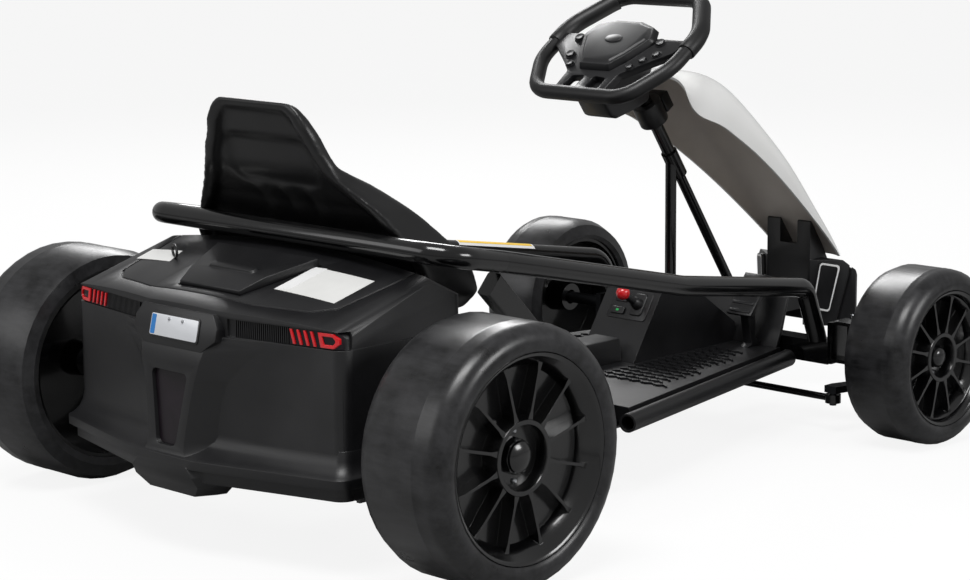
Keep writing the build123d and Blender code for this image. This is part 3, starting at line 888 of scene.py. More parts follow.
    def lamps(self) -> None:
        """Builds the ribbed bands and the two tail lamps."""
        low, high = self.lamp_low, self.lamp_high
        for name, side in SIDES:
            ribs = gathered(Solid.rear(box(side * y, low, side * y + side * 1.1, high), -140, -80)
                            for y in (72 + 2.5 * k for k in range(26)))
            ribs.limit(self.shell(1.7)).cut(self.shell(3.0))
            ribs.piece(f"lamp_ribs_{name}", PANEL_ABS, "chassis", "body_black", 0)
            base = self.strip(box(side * 137, low + 0.4, side * 196, high - 0.4), 1.9, 3.0)
            base.piece(f"lamp_base_{name}", SMOKED_PAINTED_REFLECTION, "chassis", "body_black", 0)
            bars = gathered(
                self.strip([(side * y, low + 1.5), (side * (y + 2.6), low + 1.5),
                            (side * (y - 1.4), high - 1.5), (side * (y - 4), high - 1.5)], 0.5, 2.5)
                for y in (142 + 8.0 * k for k in range(4)))
            outer = [(side * 174, low + 1.5), (side * 189, low + 1.5), (side * 194, low + 6),
                     (side * 194, high - 6), (side * 189, high - 1.5), (side * 171, high - 1.5)]
            inner = [(side * 177.5, low + 4.6), (side * 188, low + 4.6),
                     (side * 190.6, low + 7.4), (side * 190.6, high - 7.4),
                     (side * 188, high - 4.6), (side * 175.5, high - 4.6)]
            ring = self.strip(outer, 0.5, 2.5).cut(Solid.rear(inner, -150, -70))
            bars.gather(ring).piece(f"tail_lamp_{name}", RED_LENS, "chassis", "panel_grey", 0.3)

    def window(self) -> None:
        """Builds the smoked window in the spine."""
        # the window's faint violet cloud is a painted reflection
        self.opening(0.4, 4.5, 7.0).piece("spine_window", SMOKED_PAINTED_REFLECTION, "chassis", "panel_grey", 0)

    @staticmethod
    def opening(inset: float, low: float, high: float) -> Solid:
        """Gives the window's form between two depths under the spine's leaning face.

        Args:
            inset: how much smaller its outline is.
            low: the outer depth.
            high: the inner depth.

        Returns:
            The form.
        """
        top, foot = 27 - inset, 14 - inset
        outline = rounded(twin([(top, 177 - inset), (foot, 105 + inset)]), [5, 7, 7, 5], 4)
        face = [(-129.6, 180), (-137, 100)]
        layer = [(d + low, z) for d, z in face] + [(d + high, z) for d, z in reversed(face)]
        return Solid.rear(outline, -190, -90).limit(Solid.side(layer, -60, 60))

    def lid(self) -> None:
        """Builds the battery lid with its sloping back and finger lip."""
        rise = math.atan(self.deck_rise)
        plane = Plane(P(0, 0, self.deck(0, 0)), X * math.cos(rise) + Z * math.sin(rise), Y)
        lid = plane.block(mirror([(-80, 45), (-0.5, 75)]), -7, 7.0)
        lid.cut(Solid([[plane.at(u, y, w) for u, w in ((-52, 7.2), (-90, 1.8), (-90, 12))]
                       for y in (-90, 90)]))
        lid.join(plane.block(rounded(box(-51, -35, -40, 35), 4), 5, 9.5, 0.93))
        lid.piece("battery_lid_moulding", COVER_ABS, "battery_lid_body", "body_black", 1.8,
                  ("battery_lid",))

    def label(self, name: str, corners: list[Flat], finish: Finish, lift: float = 0.35) -> None:
        """Lays a blank label on the deck.

        Args:
            name: its name.
            corners: four corners as (distance, y).
            finish: its finish.
            lift: how far it stands off the deck.
        """
        steps, thickness = 8, 0.3
        a, b, c, d = map(Vector, corners)
        work = bmesh.new()
        grid = {}
        for layer, top in enumerate((lift, lift - thickness)):
            for i in range(steps + 1):
                for j in range(steps + 1):
                    u, v = i / steps, j / steps
                    p = (a * (1 - u) + b * u) * (1 - v) + (d * (1 - u) + c * u) * v
                    place = P(p.x, p.y, self.deck(p.x, p.y) + top) * MM
                    grid[layer, i, j] = work.verts.new(place)
        for layer in (0, 1):
            for i in range(steps):
                for j in range(steps):
                    ring = ((i, j), (i + 1, j), (i + 1, j + 1), (i, j + 1))
                    work.faces.new([grid[layer, u, v] for u, v in ring])
        for i in range(steps):
            for one, two in (((i, 0), (i + 1, 0)), ((i, steps), (i + 1, steps)),
                             ((0, i), (0, i + 1)), ((steps, i), (steps, i + 1))):
                work.faces.new([grid[0, *one], grid[0, *two], grid[1, *two], grid[1, *one]])
        bmesh.ops.recalc_face_normals(work, faces=work.faces)
        dress_mesh(name, mesh_of(work, name), finish, "chassis")

    def labels(self) -> None:
        """Lays the blank labels and the small strap loop on the deck."""
        self.label("deck_label_right", [(-51, -150), (0, -152), (-4, -72), (-55, -70)], PAPER)
        self.label("deck_label_right_head", [(-49, -86), (-2, -88), (-4, -72), (-55, -70)],
                   MARK_WHITE, 0.5)
        self.label("deck_label_left", [(-34, 114), (-9, 124), (-6, 176), (-29, 174)], PAPER)
        height = self.deck(-24, 118) + 7
        loop = [P(-24 + 6 * c, 118 + 11 * c, height + 6 * s) for c, s in circle(1, 20)]
        pipe(loop, 1.3, 8, True).piece("lid_strap_loop", GRIP_TPE, "chassis", "grip_black", 0)

    def build(self) -> None:
        """Builds every part of the cover."""
        self.body()
        self.plate()
        self.lamps()
        self.window()
        self.lid()
        self.labels()


@dataclass
class Seat:
    """The blow-moulded bucket seat."""

    half: float = 170.0
    depth: float = 17.0
    flange: float = 15.0
    recess: float = 8.5
    voxel: float = 2.0
    passes: int = 45

    def build(self) -> None:
        """Builds the seat, softened as a blown moulding is."""
        front = [(-10, 427), (-4, 413), (5, 394), (6, 380), (11, 368), (22, 362), (44, 349),
                 (61, 334), (78, 317), (92, 299), (118, 264), (125, 242), (113, 224)]
        rear = [(62, 226), (52, 262), (40, 292), (34, 305), (24, 325), (8, 345), (0.5, 355),
                (-4, 365), (-10, 385), (-17, 405), (-20, 431)]
        view = [(40, 434), (52, 431), (62, 424), (70, 415), (75, 405), (79, 395), (85, 385),
                (91, 375), (95, 365), (101, 355), (112, 345), (123, 335), (134, 325),
                (150, 305), (158, 295), (168, 280), (self.half, 262), (171, 240), (160, 224)]

        def both(shift: float, drop: float = 0.0, last: int | None = -1) -> list[Flat]:
            """Gives the outline from behind, drawn in and lowered.

            Args:
                shift: how far it is drawn in.
                drop: how far it is lowered.
                last: where its line stops.

            Returns:
                The whole outline as (y, z).
            """
            return twin([(y - shift, z - drop) for y, z in view[:last]])

        seat = Solid.side([*front, *rear], -180, 180).limit(
            Solid.rear(both(0, last=None), -60, 240))
        seat.join(Solid.plan(mirror([(62, 104), (180, 104), (200, 88)]), 214.5, 240))
        inner = [(d + self.depth, z) for d, z in rear[2:]]
        driver = Solid.side([(78, 240), *inner, (-3, 450), (260, 450), (260, 240)], -180, 180)
        seat.cut(driver.limit(Solid.rear(both(9), -60, 340)))
        back = Solid.side([*[(d + self.recess, z) for d, z in rear[1:-1]], (-15, 421), (-60, 421),
                           (-60, 262)], -180, 180)
        seat.cut(back.limit(Solid.rear(both(self.flange, 5), -100, 200)))
        window = [(d + self.recess + 3.5, z) for d, z in rear[4:10]] + [(-60, 405), (-60, 325)]
        frame = rounded([(-66, 342), (66, 342), (60, 392), (-60, 392)], 14, 5)
        seat.cut(Solid.side(window, -90, 90).limit(Solid.rear(frame, -80, 60)))
        # three soft vertical folds below the window
        fold = [(d + self.recess - 2.5, z) for d, z in rear[1:6]]
        fold += [(d + 6.5, z) for d, z in reversed(fold)]
        for y in (-38, 0, 38):
            seat.join(Solid.rear([(y - 7, 268), (y + 7, 268), (y + 5, 338), (y - 5, 338)], -6, 60)
                      .limit(Solid.side(fold, -180, 180)))
        item = seat.piece("seat_moulding", SEAT_PE, "chassis", "body_black", 0, ("seat",))
        remesh = item.modifiers.new("skin", "REMESH")
        remesh.mode = "VOXEL"
        remesh.voxel_size = self.voxel * MM
        soften = item.modifiers.new("soft", "SMOOTH")
        soften.iterations = self.passes
        soften.factor = 0.5
        settle(item)
        item.data.shade_smooth()
        item.data.materials.clear()
        item.data.materials.append(SEAT_PE.material())


@dataclass
class Shield:
    """The tall white shield ahead of the steering wheel.

    Each station gives the top and the edge of one section, as (distance, z), and its half width.
    """

    stations: tuple[tuple[Flat, Flat, float], ...] = (
        ((567, 413), (574, 388), 60), ((602, 418), (581, 366), 68), ((640, 408), (622, 356), 70),
        ((677, 386), (650, 339), 68), ((730, 342), (686, 320), 65.5), ((784, 297), (746, 280), 61),
        ((833, 240), (798, 240), 56), ((862, 207), (841, 205), 52.6), ((878, 187), (868, 182), 50),
        ((886.5, 170), (882, 167), 49))
    thickness: float = 3.0
    boxiness: float = 0.42
    fullness: float = 0.8

    def build(self) -> None:
        """Builds the shield as one sheet, then gives it its wall."""
        count = 20
        work = bmesh.new()
        made = []
        for top, low, half in self.stations:
            ring = []
            for k in range(count + 1):
                a = math.pi * k / count
                across = half * math.copysign(abs(math.cos(a)) ** self.boxiness, math.cos(a))
                up = abs(math.sin(a)) ** self.fullness
                place = P(low[0] + (top[0] - low[0]) * up, across, low[1] + (top[1] - low[1]) * up)
                ring.append(work.verts.new(place * MM))
            made.append(ring)
        for one, two in zip(made, made[1:]):
            for i in range(count):
                work.faces.new((one[i], one[i + 1], two[i + 1], two[i]))
        bmesh.ops.recalc_face_normals(work, faces=work.faces)
        # the polished side faces forwards and up
        if made[3][count // 2].normal.dot(X + Z) < 0:
            bmesh.ops.reverse_faces(work, faces=work.faces)
        mesh = mesh_of(work, "shield_moulding")
        mesh.materials.append(SHIELD_ABS.material())
        mesh.materials.append(SHIELD_BACK_PAINTED_SHADE.material())
        item = linked("shield_moulding", mesh)
        smooth = item.modifiers.new("smooth", "SUBSURF")
        smooth.levels = 2
        smooth.render_levels = 2
        wall = item.modifiers.new("wall", "SOLIDIFY")
        wall.thickness = self.thickness * MM
        wall.offset = -1
        # the inner wall takes the white ABS with its shade painted in as a dull warm grey
        wall.material_offset = 1
        settle(item)
        item.data.shade_smooth()
        item.data.set_sharp_from_angle(angle=math.radians(50))
        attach(item, "chassis")
        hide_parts("fairing")
        LOG.info("%s: %d faces on chassis", item.name, len(item.data.polygons))


@dataclass
class Wheel:
    """One wheel: a slick tyre with its moulding line, and a rim with ribs.

    Distance is the axle's, bead the rim's radius, outer how far out its face stands, and
    cap_sides the corners of its hub cap.
    """

    side_name: str
    side: int
    end: str
    distance: float
    radius: float
    width: float
    bead: float
    outer: float
    cap_sides: int
    ribs: int = 12
    web: float = -26.0
    shoulder: float = 18.0

    @property
    def body(self) -> str:
        """The body the wheel turns with."""
        return f"{self.end}_wheel_{self.side_name}"

    def plane(self) -> Plane:
        """Gives the plane of the wheel's outer face."""
        return Plane(P(self.distance, self.side * self.outer, self.radius), X * -self.side, Z)

    def tyre(self) -> None:
        """Builds the tyre."""
        r, w, b, bend = self.radius, self.width, self.bead, self.shoulder
        # the tread stands a little inside the moulding line
        tread, line = r - 0.3, -0.30 * w
        arc = [(tread - bend + bend * math.sin(a), bend * math.cos(a) - bend)
               for a in (math.pi * k / 10 for k in (1, 2, 3, 4, 5))]
        profile = [(b + 0.2, -3.0), (b + 3, -0.6), (r - 17, 0.0), *arc, (tread, line + 1.2),
                   (r, line), (tread, line - 1.2), (tread, 18 - w), (r - 6, 5 - w), (r - 18, -w),
                   (b + 0.2, 3 - w)]
        ring = self.plane().turned(profile, 46, closed=True)
        ring.piece(f"{self.end}_tyre_slick_{self.side_name}", TYRE_PU, self.body, "tyre_black", 0,
                   (f"{self.end}_tyre_{self.side_name}",))

    def rim(self) -> None:
        """Builds the rim, its ribs, cap and screws."""
        b, w, web = self.bead, self.width, self.web
        pocket, hub = b * 0.885, b * 0.355
        profile = [(b, -3.6), (b - 1, -2.6), (b - 3, -3.4), (b - 5, -5), (pocket + 2, -12),
                   (pocket, -13.5), (pocket - 5, web), (hub + 4, web - 3), (hub + 0.6, -13),
                   (hub, -12), (hub - 4, -12), (hub - 4.8, -13), (hub - 5.2, -26), (9, -27),
                   (9, -60), (17, -60), (20, web - 7), (pocket - 8, web - 4), (b - 4, web - 4),
                   (b - 4, 6 - w), (b, 6 - w)]
        plane = self.plane()
        rim = plane.turned(profile, 72, closed=True)
        ribs = []
        for k in range(self.ribs):
            a = 2 * math.pi * (k + 0.5) / self.ribs
            along = Vector((math.cos(a), math.sin(a)))
            across = Vector((-along.y, along.x))
            half = [along * (hub - 1) + across * 3.4, along * (hub + 9) + across * 1.5,
                    along * (pocket - 8) + across * 1.4, along * (pocket + 1.5) + across * 3.0]
            half += [p - 2 * across * p.dot(across) for p in reversed(half)]
            ribs.append(plane.block([tuple(p) for p in half], web - 3, -13.0))
        rim.gather(gathered(ribs))
        cap = hub * 0.52
        rim.gather(plane.block(circle(cap, self.cap_sides), -27, -19, 0.92))
        rim.gather(plane.turned([(0, -20), (cap * 0.86, -20), (cap * 0.8, -16.5),
                                 (cap * 0.55, -13.4), (cap * 0.2, -12.4), (0, -12.3)], 32))
        rim.piece(f"{self.end}_rim_moulding_{self.side_name}", RIM_ABS, self.body, "rim_black", 0,
                  (f"{self.end}_rim_{self.side_name}",))
        head = [(0, -27), (2.6, -27), (2.6, -24.6), (1.6, -23.6), (0, -23.4)]
        screws = gathered(plane.turned(head, 16, 0, v * (cap + 5.2)) for v in (-1, 1))
        screws.piece(f"{self.end}_hub_screws_{self.side_name}", ZINC, self.body, "steel_grey", 0)

    def build(self) -> None:
        """Builds the wheel."""
        self.tyre()
        self.rim()


@dataclass
class SteeringWheel:
    """The squarish steering wheel, its pad, buttons and the housing behind it."""

    distance: float = 522.0
    height: float = 452.0
    half: float = 97.0
    tube: float = 8.5
    grip: float = 10.4

    @property
    def plane(self) -> Plane:
        """The wheel's plane: u to its top, v to the left."""
        return Plane(P(self.distance, 0, self.height), WHEEL_UP, Y)

    def rim(self) -> None:
        """Builds the rim, its thicker grips and the spoke plate."""
        h = self.half
        outline = [(90, 58), (90, -58), (30, -h), (-30, -h), (-84.5, -66), (-84.5, 66), (-30, h),
                   (30, h)]
        path = rounded(outline, [34, 34, 60, 60, 34, 34, 60, 60], 7)
        dense = []
        for one, two in zip(path, path[1:] + path[:1]):
            gap = Vector(two) - Vector(one)
            steps = max(1, int(gap.length / 9))
            dense += [tuple(Vector(one) + gap * (k / steps)) for k in range(steps)]
        plane = self.plane
        rim = pipe([plane.at(u, v, -self.tube) for u, v in dense], self.tube, 18, True)
        for _, side in SIDES:
            grip = [plane.at(u, v, -self.tube) for u, v in dense if v * side > 60 and -8 < u < 84]
            grip.sort(key=lambda p: p.z)
            rim.gather(pipe(grip, self.grip, 18))
        rim.piece("steering_rim", GRIP_TPE, "steering", "grip_black", 1.2, ("steering_wheel",),
                  2, 50)
        wing = [(13, h), (-11, h - 10), (-33, 60), (-53, 38), (-84.5, 36)]
        plate = plane.block(rounded(mirror(wing), [4, 6, 10, 8, 4, 4, 8, 10, 6, 4], 3), -12, -3,
                            0.985)
        for _, side in SIDES:
            hole = [(-58, side * 6), (-78, side * 7), (-78, side * 27), (-60, side * 25)]
            plate.cut(plane.block(rounded(hole, 4, 3), -20, 5))
        plate.piece("steering_spoke_plate", PANEL_ABS, "steering", "body_black", 1.4)

    def pad(self) -> None:
        """Builds the pad with its bare oval place."""
        plane = self.plane
        view = rounded(mirror([(33, 20), (24, 44), (4, 53), (-30, 36), (-49, 22)]),
                       [6, 7, 8, 7, 5, 5, 7, 8, 7, 6], 3)
        pad = plane.block(view, -3, 4.5, 0.93)
        pad.join(plane.block([(u * 0.8928, v * 0.8928) for u, v in view], 3.5, 6.0, 0.9))
        pad.piece("steering_pad", COVER_ABS, "steering", "body_black", 1.4, ("wheel_pad",))
        oval = [(7 * c - 3, 12.5 * s) for c, s in circle(1, 32)]
        plane.block(oval, 5.2, 6.9, 0.94).piece("pad_badge_place", PANEL_ABS, "steering",
                                                "body_black", 0.3)

    def buttons(self) -> None:
        """Builds the push buttons on the spokes."""
        plane = self.plane
        places = ((4, 60, 5.5), (-26, 52, 5.5), (-42, 41, 4.5), (4, -60, 5.5), (-16, -68, 5),
                  (-27, -56, 5), (-40, -46, 4.5))
        keys = gathered(plane.turned(
            [(0, -4), (r + 1.2, -4), (r + 1.2, -2.2), (r + 0.3, -2.0), (r, -2.4), (r, -0.2),
             (r - 0.8, 0.5), (r * 0.4, 0.2), (0, 0.1)], 24, u, v) for u, v, r in places)
        keys.piece("steering_buttons", PANEL_ABS, "steering", "panel_grey", 0)

    def housing(self) -> None:
        """Builds the housing round the shaft, behind the wheel."""
        plane = self.plane
        line = [(-74, -12), (-73, -50), (-66, -57), (-28, -71), (-12, -74), (8, -50), (17, -45),
                (17, -12)]
        shape = Solid([[plane.at(u, y, w) for u, w in line] for y in (-22, 22)])
        shape.piece("steering_housing", PANEL_ABS, "steering", "body_black", 4, (), 3)

    def build(self) -> None:
        """Builds the wheel and what turns with it."""
        self.rim()
        self.pad()
        self.buttons()
        self.housing()


@dataclass
class Cockpit:
    """The floor's lugs, tunnel and upstand, the console's controls and the pedal."""

    floor: float = 90.0
    row_step: int = 13
    lug_step: float = 17.0

    def lugs(self) -> None:
        """Builds the rows of chevron lugs on the pan, and its tunnel and upstand."""
        lugs = []
        for d in range(432, 640, self.row_step):
            # the pan narrows forwards
            edge = 180 - (d - 334) * 0.22
            for _, side in SIDES:
                y = 50.0
                while y < edge - 22:
                    a, b, c = (side * (y + step) for step in (0, 7, 14))
                    lugs.append(Solid.plan([(d, a), (d + 5, b), (d, c), (d + 3.4, c), (d + 8.4, b),
                                            (d + 3.4, a)], self.floor - 0.5, self.floor + 2.2))
                    y += self.lug_step
        gathered(lugs).piece("floor_lugs", PANEL_ABS, "chassis", "body_black", 0)
        tunnel = Solid.rear(twin([(22, 89), (19, 117)]), 330, 507)
        tunnel.piece("floor_tunnel", COVER_ABS, "chassis", "body_black", 3)
        upstand = Solid.side([(684, 89.5), (690, 89.5), (697, 106), (709, 146), (705, 146),
                              (692, 106)], -104, 104)
        upstand.piece("floor_upstand", COVER_ABS, "chassis", "body_black", 1)

    def console_plane(self) -> Plane:
        """Gives the plane of the console's leaning face."""
        lean = math.atan2(50, 77)
        return Plane(P(530, 0, 128.5), -Y, X * math.sin(lean) + Z * math.cos(lean))

    def controls(self) -> None:
        """Builds the control panel, its switch and display, and the drift lever."""
        plane = self.console_plane()
        panel = plane.block(rounded(box(-26, 5, 32, 41), 4), -1, 1.2)
        panel.piece("console_panel", PANEL_ABS, "chassis", "panel_grey", 0.5)
        rocker = plane.block(rounded(box(-20, 9.5, 0, 18.5), 1.5), 1, 3.6, 0.92)
        rocker.gather(plane.block(rounded(box(7, 10, 25, 38), 4), 1, 3.2, 0.94))
        rocker.piece("console_rocker", COVER_ABS, "chassis", "body_black", 0.5)
        display = plane.block(rounded(box(-20, 25, -2, 37), 1.5), 1, 2.6, 0.96)
        display.piece("console_display", SMOKED_PAINTED_REFLECTION, "chassis", "panel_grey", 0.3)
        mark = plane.block(rounded(box(-12, 12.8, -8, 15.2), 0.6), 3.4, 3.85)
        mark.piece("rocker_mark", GREEN_MARK, "chassis", "panel_grey", 0)
        stem = plane.turned([(0, 2), (7.5, 2), (6, 11), (4.5, 13), (4.2, 30), (0, 30)], 24, 16, 24)
        stem.piece("drift_lever_stem", COVER_ABS, "chassis", "body_black", 0.4)
        ball = [(8 * math.sin(a), 34 - 8 * math.cos(a))
                for a in (math.pi * k / 14 for k in range(15))]
        plane.turned(ball, 28, 16, 24).piece("drift_lever_ball", RED_KNOB, "chassis",
                                             "panel_grey", 0)

    def pedal(self) -> None:
        """Builds the foot pedal and its arm."""
        pedal = Solid.side([(650, 131), (655, 128), (690, 170), (686, 174)], -93, -57)
        arm = [(660, 136), (668, 94), (660, 90.2), (684, 90.2), (684, 96), (676, 100), (673, 151)]
        pedal.join(Solid.side(arm, -81, -69))
        for k in range(5):
            d, z = 652 + 7 * k, 134.5 + 8.1 * k
            pedal.join(Solid.side([(d - 1.5, z), (d, z - 1), (d + 2.2, z + 1.6),
                                   (d + 0.7, z + 2.6)], -90, -60))
        pedal.piece("foot_pedal", PANEL_ABS, "chassis", "body_black", 0.8)

    def build(self) -> None:
        """Builds the cockpit's parts."""
        self.lugs()
        self.controls()
        self.pedal()


@dataclass
class Nose:
    """The nose moulding: flanks that spread forwards, a neck and pillars inside the shield.

    Start and end give, as (distance, y), the line of the left flank.
    """

    start: Flat = (842, 33)
    end: Flat = (878, 76)
    low: float = 84.0

    def body(self, inset: float) -> Solid:
        """Makes the outer form, or the hollow in it.

        Args:
            inset: how much smaller; 0 for the outer form.

        Returns:
            The form.
        """
        plan = mirror([(self.start[0] + inset, self.start[1] - 0.4 * inset),
                       (self.end[0], self.end[1] - 1.2 * inset), (884 - inset, 74 - 1.2 * inset),
                       (887.5 - inset, 56 - 0.5 * inset)])
        shape = Solid.plan(plan, self.low - 10, 190)
        top = [(838, 166), (868, 166), (878, 154), (882, 150), (887.5, 140)]
        side = [(d, z - inset) for d, z in top] + [(887.5 - inset, 126), (887 - inset, 112),
                                                  (878 - inset, self.low), (838, self.low)]
        return shape.limit(Solid.side(side, -90, 90))

    def flank(self, side: int) -> Plane:
        """Gives the plane of one flank: u along it from its rear end, v upwards."""
        foot = P(self.start[0], side * self.start[1], 0)
        return Plane(foot, (P(self.end[0], side * self.end[1], 0) - foot).normalized(), Z)

    def on_flank(self, side: int, outline: list[Flat], low: float, high: float) -> Solid:
        """Makes a block on one flank, between two depths out from it.

        Args:
            side: 1 for the left flank, -1 for the right.
            outline: the block's outline on the flank.
            low: where the block starts.
            high: where it ends.

        Returns:
            The block.
        """
        plane = self.flank(side)
        out = 1 if plane.normal.y * side > 0 else -1
        return plane.block(outline, low * out, high * out)

    def build(self) -> None:
        """Builds the nose, its pillars and number panels."""
        nose = self.body(0)
        nose.join(Solid.side([(766, 147), (830, 141), (850, 133), (850, 106), (766, 106)], -27, 27))
        pillar = [(842, 120), (842, 212), (844, 214), (866, 184), (880, 160), (880, 120)]
        for low, high in ((-33, -13), (13, 33)):
            nose.join(Solid.side(pillar, low, high))
        nose.join(Solid.side([(842, 120), (842, 184), (866, 181), (880, 158), (880, 120)], -14, 14))
        groove = [(50, 175), (52.5, 175), (50, 147), (33, 80), (30.5, 80), (47.5, 147)]
        for _, side in SIDES:
            nose.cut(self.on_flank(side, groove, -2.5, 2))
        nose.cut(self.body(4.0))
        nose.cut(Solid.side([(765, 143), (830, 137), (850, 129), (862, 129), (862, 79), (765, 79)],
                            -23, 23))
        nose.piece("nose_moulding", COVER_ABS, "chassis", "body_black", 1.2, ("nose",))
        for name, side in SIDES:
            shape = rounded([(12, 164.5), (38.4, 161), (24.5, 101), (2, 105)], 4)
            self.on_flank(side, shape, -1, 4.6).piece(f"number_panel_{name}", PANEL_ABS, "chassis",
                                                      "panel_grey", 0.8)
            border = self.on_flank(side, self.inset(shape, 0.93), 4.2, 5.1)
            border.cut(self.on_flank(side, self.inset(shape, 0.80), 3, 6))
            border.piece(f"number_panel_border_{name}", MARK_WHITE, "chassis", "shield_white", 0)

    @staticmethod
    def inset(outline: list[Flat], share: float) -> list[Flat]:
        """Shrinks an outline about its middle.

        Args:
            outline: the outline.
            share: what is left of its width; its height shrinks less.

        Returns:
            The smaller outline.
        """
        cu = sum(u for u, _ in outline) / len(outline)
        cv = sum(v for _, v in outline) / len(outline)
        return [(cu + (u - cu) * share, cv + (v - cv) * (1 - (1 - share) * 0.55))
                for u, v in outline]


@dataclass
class Frame:
    """The welded frame and running gear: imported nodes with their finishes, and small fittings."""

    nodes: dict[str, bpy.types.Object]
    tube: float = 11.0

    def dress(self) -> None:
        """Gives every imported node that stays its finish."""
        finishes = {"battery": BATTERY_CASE, "console": COVER_ABS, "drive_motor": GREY_STEEL,
                    "floor_pan": COVER_ABS, "knuckle": GREY_STEEL, "rear_axle": GREY_STEEL,
                    "sill": COVER_ABS, "front_tyre": TYRE_PU, "rear_tyre": TYRE_PU, "seat": SEAT_PE,
                    "front_rim": RIM_ABS, "rear_rim": RIM_ABS, "rear_cover": COVER_ABS,
                    "battery_lid": COVER_ABS, "fairing": SHIELD_ABS, "nose": COVER_ABS,
                    "steering_wheel": GRIP_TPE, "wheel_pad": COVER_ABS}
        for name, item in self.nodes.items():
            match = [key for key in finishes if name.startswith(key) and name != "seat_bracket"]
            finish = finishes[max(match, key=len)] if match else POWDER
            if not item.material_slots:
                item.data.materials.append(finish.material())
            for slot in item.material_slots:
                slot.material = finish.material()

    def fittings(self) -> None:
        """Adds the column boss, the kingpins' nuts and the hoop's bolts."""
        column = Plane(P(721, 0, COLUMN_FOOT), WHEEL_UP, Y)
        low, high = [(z - COLUMN_FOOT) / WHEEL_UP.x for z in (356, 379)]
        drum = column.turned([(7.8, low), (17, low), (17, high), (7.8, high)], 36, closed=True)
        drum.gather(column.block(box(14, -12, 27, 12), low + 3, high - 3))
        drum.piece("column_boss", COVER_ABS, "chassis", "body_black", 0.8)
        nuts = []
        for _, side in SIDES:
            for z, under, over in ((122, 7, 11.5), (77, -11.5, -7)):
                nuts.append(Plane(P(728, side * 186, z), X, Y).block(circle(6, 6), under, over))
        gathered(nuts).piece("kingpin_nuts", ZINC, "chassis", "steel_grey", 0.4)
        head = [(0, -4), (4.5, -4), (4.5, 1), (3.4, 2.4), (0, 2.8)]
        bolts = gathered(Plane(P(125, side * 214.0, 272), -side * X, Z).turned(head, 20)
                         for _, side in SIDES)
        bolts.piece("hoop_bolts", ZINC, "chassis", "steel_grey", 0)

    def hoop(self) -> None:
        """Builds the hoop behind the seat, between the rails' ends."""
        joint, joint_y, joint_z = 110.0, 212.4, 276.9
        back, back_y, back_z = 25.0, 225.0, 294.0
        plan = rounded(mirror([(joint, joint_y), (back, back_y)]), [0, 34, 34, 0], 9)
        fall = (back_z - joint_z) / (joint - back)
        path = [P(d, y, back_z - max(d - back, 0) * fall) for d, y in plan]
        pipe(path, self.tube, 24).piece("hoop_tube", POWDER, "chassis", "tube_black", 0,
                                        ("hoop_rear",))

    def rail_label(self) -> None:
        """Wraps a blank yellow label with a white border on top of the left rail."""
        rear, front = P(440, 180.0, 204.9), P(556, 168.3, 187.2)
        run = (front - rear).normalized()
        over = (Z - run * run.z).normalized()
        out = run.cross(over)
        # each layer: its ends as shares of the run, how far it stands off, and what it leaves free
        for name, finish, ends, lift, trim in (
                ("rail_label_border", MARK_WHITE, (0.0, 1.0), 0.25, 0.0),
                ("rail_label_film", YELLOW_FILM, (0.02, 0.98), 0.4, 0.12)):
            angles = [math.pi * (0.2 + trim + k / 8 * (0.75 - 2 * trim)) for k in range(9)]
            work = bmesh.new()
            around = [(out * math.cos(a) + over * math.sin(a)) * (self.tube + lift) for a in angles]
            rows = [[work.verts.new((rear + (front - rear) * share + away) * MM)
                     for away in around] for share in ends]
            for i in range(8):
                work.faces.new((rows[0][i], rows[0][i + 1], rows[1][i + 1], rows[1][i]))
            bmesh.ops.recalc_face_normals(work, faces=work.faces)
            bmesh.ops.solidify(work, geom=work.faces[:], thickness=0.15 * MM)
            dress_mesh(name, mesh_of(work, name), finish, "chassis")

    def build(self) -> None:
        """Dresses the frame and adds its fittings."""
        self.dress()
        self.fittings()
        self.hoop()
        self.rail_label()


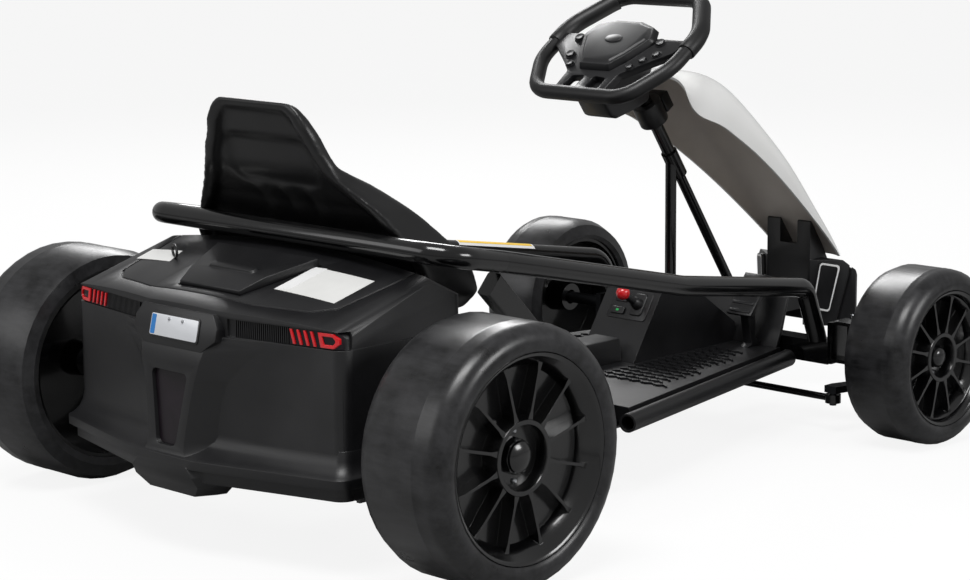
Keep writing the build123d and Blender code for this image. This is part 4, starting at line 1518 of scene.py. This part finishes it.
@dataclass
class Studio:
    """The pale floor, the soft lamps and the camera."""

    azimuth: float = -46.08
    elevation: float = 9.775
    roll: float = -0.366
    lens: float = 95.0
    shift: Flat = (-0.0144, -0.0231)
    white_share: float = 0.88
    floor_seen: float = 0.93
    floor_mirrored: float = 0.3
    sky_mirrored: float = 0.34

    def floor(self) -> None:
        """Lays the pale floor, which the camera sees as white but for soft shadows."""
        size, sunk = 9.0, -0.0005
        work = bmesh.new()
        work.faces.new([work.verts.new((x, y, sunk)) for x, y in box(-size, -size, size, size)])
        material = bpy.data.materials.new("floor_paper_white")
        material.use_nodes = True
        tree = material.node_tree
        tree.nodes.clear()
        path = add_node(tree, "ShaderNodeLightPath")
        cloud = add_node(tree, "ShaderNodeTexNoise", {"Scale": 6.0, "Detail": 3.0})
        rough = add_node(tree, "ShaderNodeMapRange", {"To Min": 0.75, "To Max": 0.85},
                         {"Value": cloud.outputs["Fac"]})
        # the mouldings mirror a darker studio than the white that the camera sees
        shade = add_node(tree, "ShaderNodeMapRange",
                         {"To Min": self.floor_mirrored, "To Max": self.floor_seen},
                         {"Value": path.outputs["Is Camera Ray"]})
        paper = add_node(tree, "ShaderNodeBsdfPrincipled",
                         links={"Roughness": rough.outputs[0], "Base Color": shade.outputs[0]})
        white = add_node(tree, "ShaderNodeEmission", {"Color": (1, 1, 1, 1), "Strength": 1.0})
        share = add_node(tree, "ShaderNodeMath", {1: self.white_share},
                         {0: path.outputs["Is Camera Ray"]}, operation="MULTIPLY")
        blend = add_node(tree, "ShaderNodeMixShader",
                         links={0: share.outputs[0], 1: paper.outputs[0], 2: white.outputs[0]})
        add_node(tree, "ShaderNodeOutputMaterial", links={"Surface": blend.outputs[0]})
        mesh = mesh_of(work, "floor")
        mesh.materials.append(material)
        linked("floor", mesh)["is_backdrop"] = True

    def lamp(self, name: str, place: Point, size: float, power: float) -> None:
        """Adds one soft lamp that faces the kart.

        Args:
            name: the lamp's name.
            place: where it stands, in metres.
            size: its width in metres.
            power: its power in watts.
        """
        data = bpy.data.lights.new(name, "AREA")
        data.shape = "RECTANGLE"
        data.size = size
        data.size_y = size * 0.6
        data.energy = power
        item = linked(name, data)
        item.location = place
        towards = Z * 0.2 - Vector(place)
        item.rotation_euler = towards.to_track_quat("-Z", "Y").to_euler()

    def camera(self) -> None:
        """Sets the camera where the photograph was taken from."""
        data = bpy.data.cameras.new("camera")
        data.lens = self.lens
        data.sensor_width = 36.0
        data.shift_x, data.shift_y = self.shift
        item = linked("camera", data)
        a, e, r = (math.radians(v) for v in (self.azimuth, self.elevation, self.roll))
        back = Vector((math.sin(a) * math.cos(e), -math.cos(a) * math.cos(e), math.sin(e)))
        right = (-back).cross(Z).normalized()
        up = right.cross(-back)
        level = right * math.cos(r) + up * math.sin(r)
        lifted = up * math.cos(r) - right * math.sin(r)
        turn = Matrix((level, lifted, back)).transposed().to_4x4()
        item.matrix_world = Matrix.Translation(P(-1644, -1899.3, 690.3) * MM) @ turn
        bpy.context.scene.camera = item

    def build(self) -> None:
        """Sets up the studio."""
        scene = bpy.context.scene
        scene.view_settings.view_transform = "Standard"
        world = bpy.data.worlds.new("studio")
        world.use_nodes = True
        ground = world.node_tree.nodes["Background"]
        ground.inputs["Color"].default_value = (1, 1, 1, 1)
        tree = world.node_tree
        path = add_node(tree, "ShaderNodeLightPath")
        # the camera sees white, and the kart mirrors a dim room
        glow = add_node(tree, "ShaderNodeMapRange", {"To Min": self.sky_mirrored, "To Max": 1.0},
                        {"Value": path.outputs["Is Camera Ray"]})
        tree.links.new(glow.outputs[0], ground.inputs["Strength"])
        scene.world = world
        self.floor()
        self.lamp("key", (-1.2, -0.6, 2.6), 1.5, 52)
        self.lamp("rim", (1.6, 1.9, 1.9), 1.3, 34)
        self.lamp("side", (0.6, -2.6, 1.4), 1.1, 24)
        self.lamp("fill", (-2.0, 0.9, 1.1), 1.5, 7)
        self.camera()


WHEELS = ({"end": "rear", "distance": 0.0, "radius": 125.0, "width": 107.0, "bead": 99.0,
           "outer": 359.0, "cap_sides": 8},
          {"end": "front", "distance": 728.0, "radius": 100.0, "width": 84.0, "bead": 77.0,
           "outer": 318.0, "cap_sides": 6})


def corners() -> list[list[float]]:
    """Gives the present box of the object as plain lists."""
    return [list(map(float, corner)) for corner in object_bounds()]


def main() -> None:
    """Builds the kart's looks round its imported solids."""
    logging.basicConfig(level=logging.INFO, format="%(name)s: %(message)s")
    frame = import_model()
    Studio().build()
    Frame(frame["nodes"]).build()
    RearCover().build()
    Seat().build()
    Shield().build()
    Nose().build()
    Cockpit().build()
    SteeringWheel().build()
    for wheel in WHEELS:
        for side_name, side in SIDES:
            Wheel(side_name, side, **wheel).build()


if __name__ == "__main__":
    main()
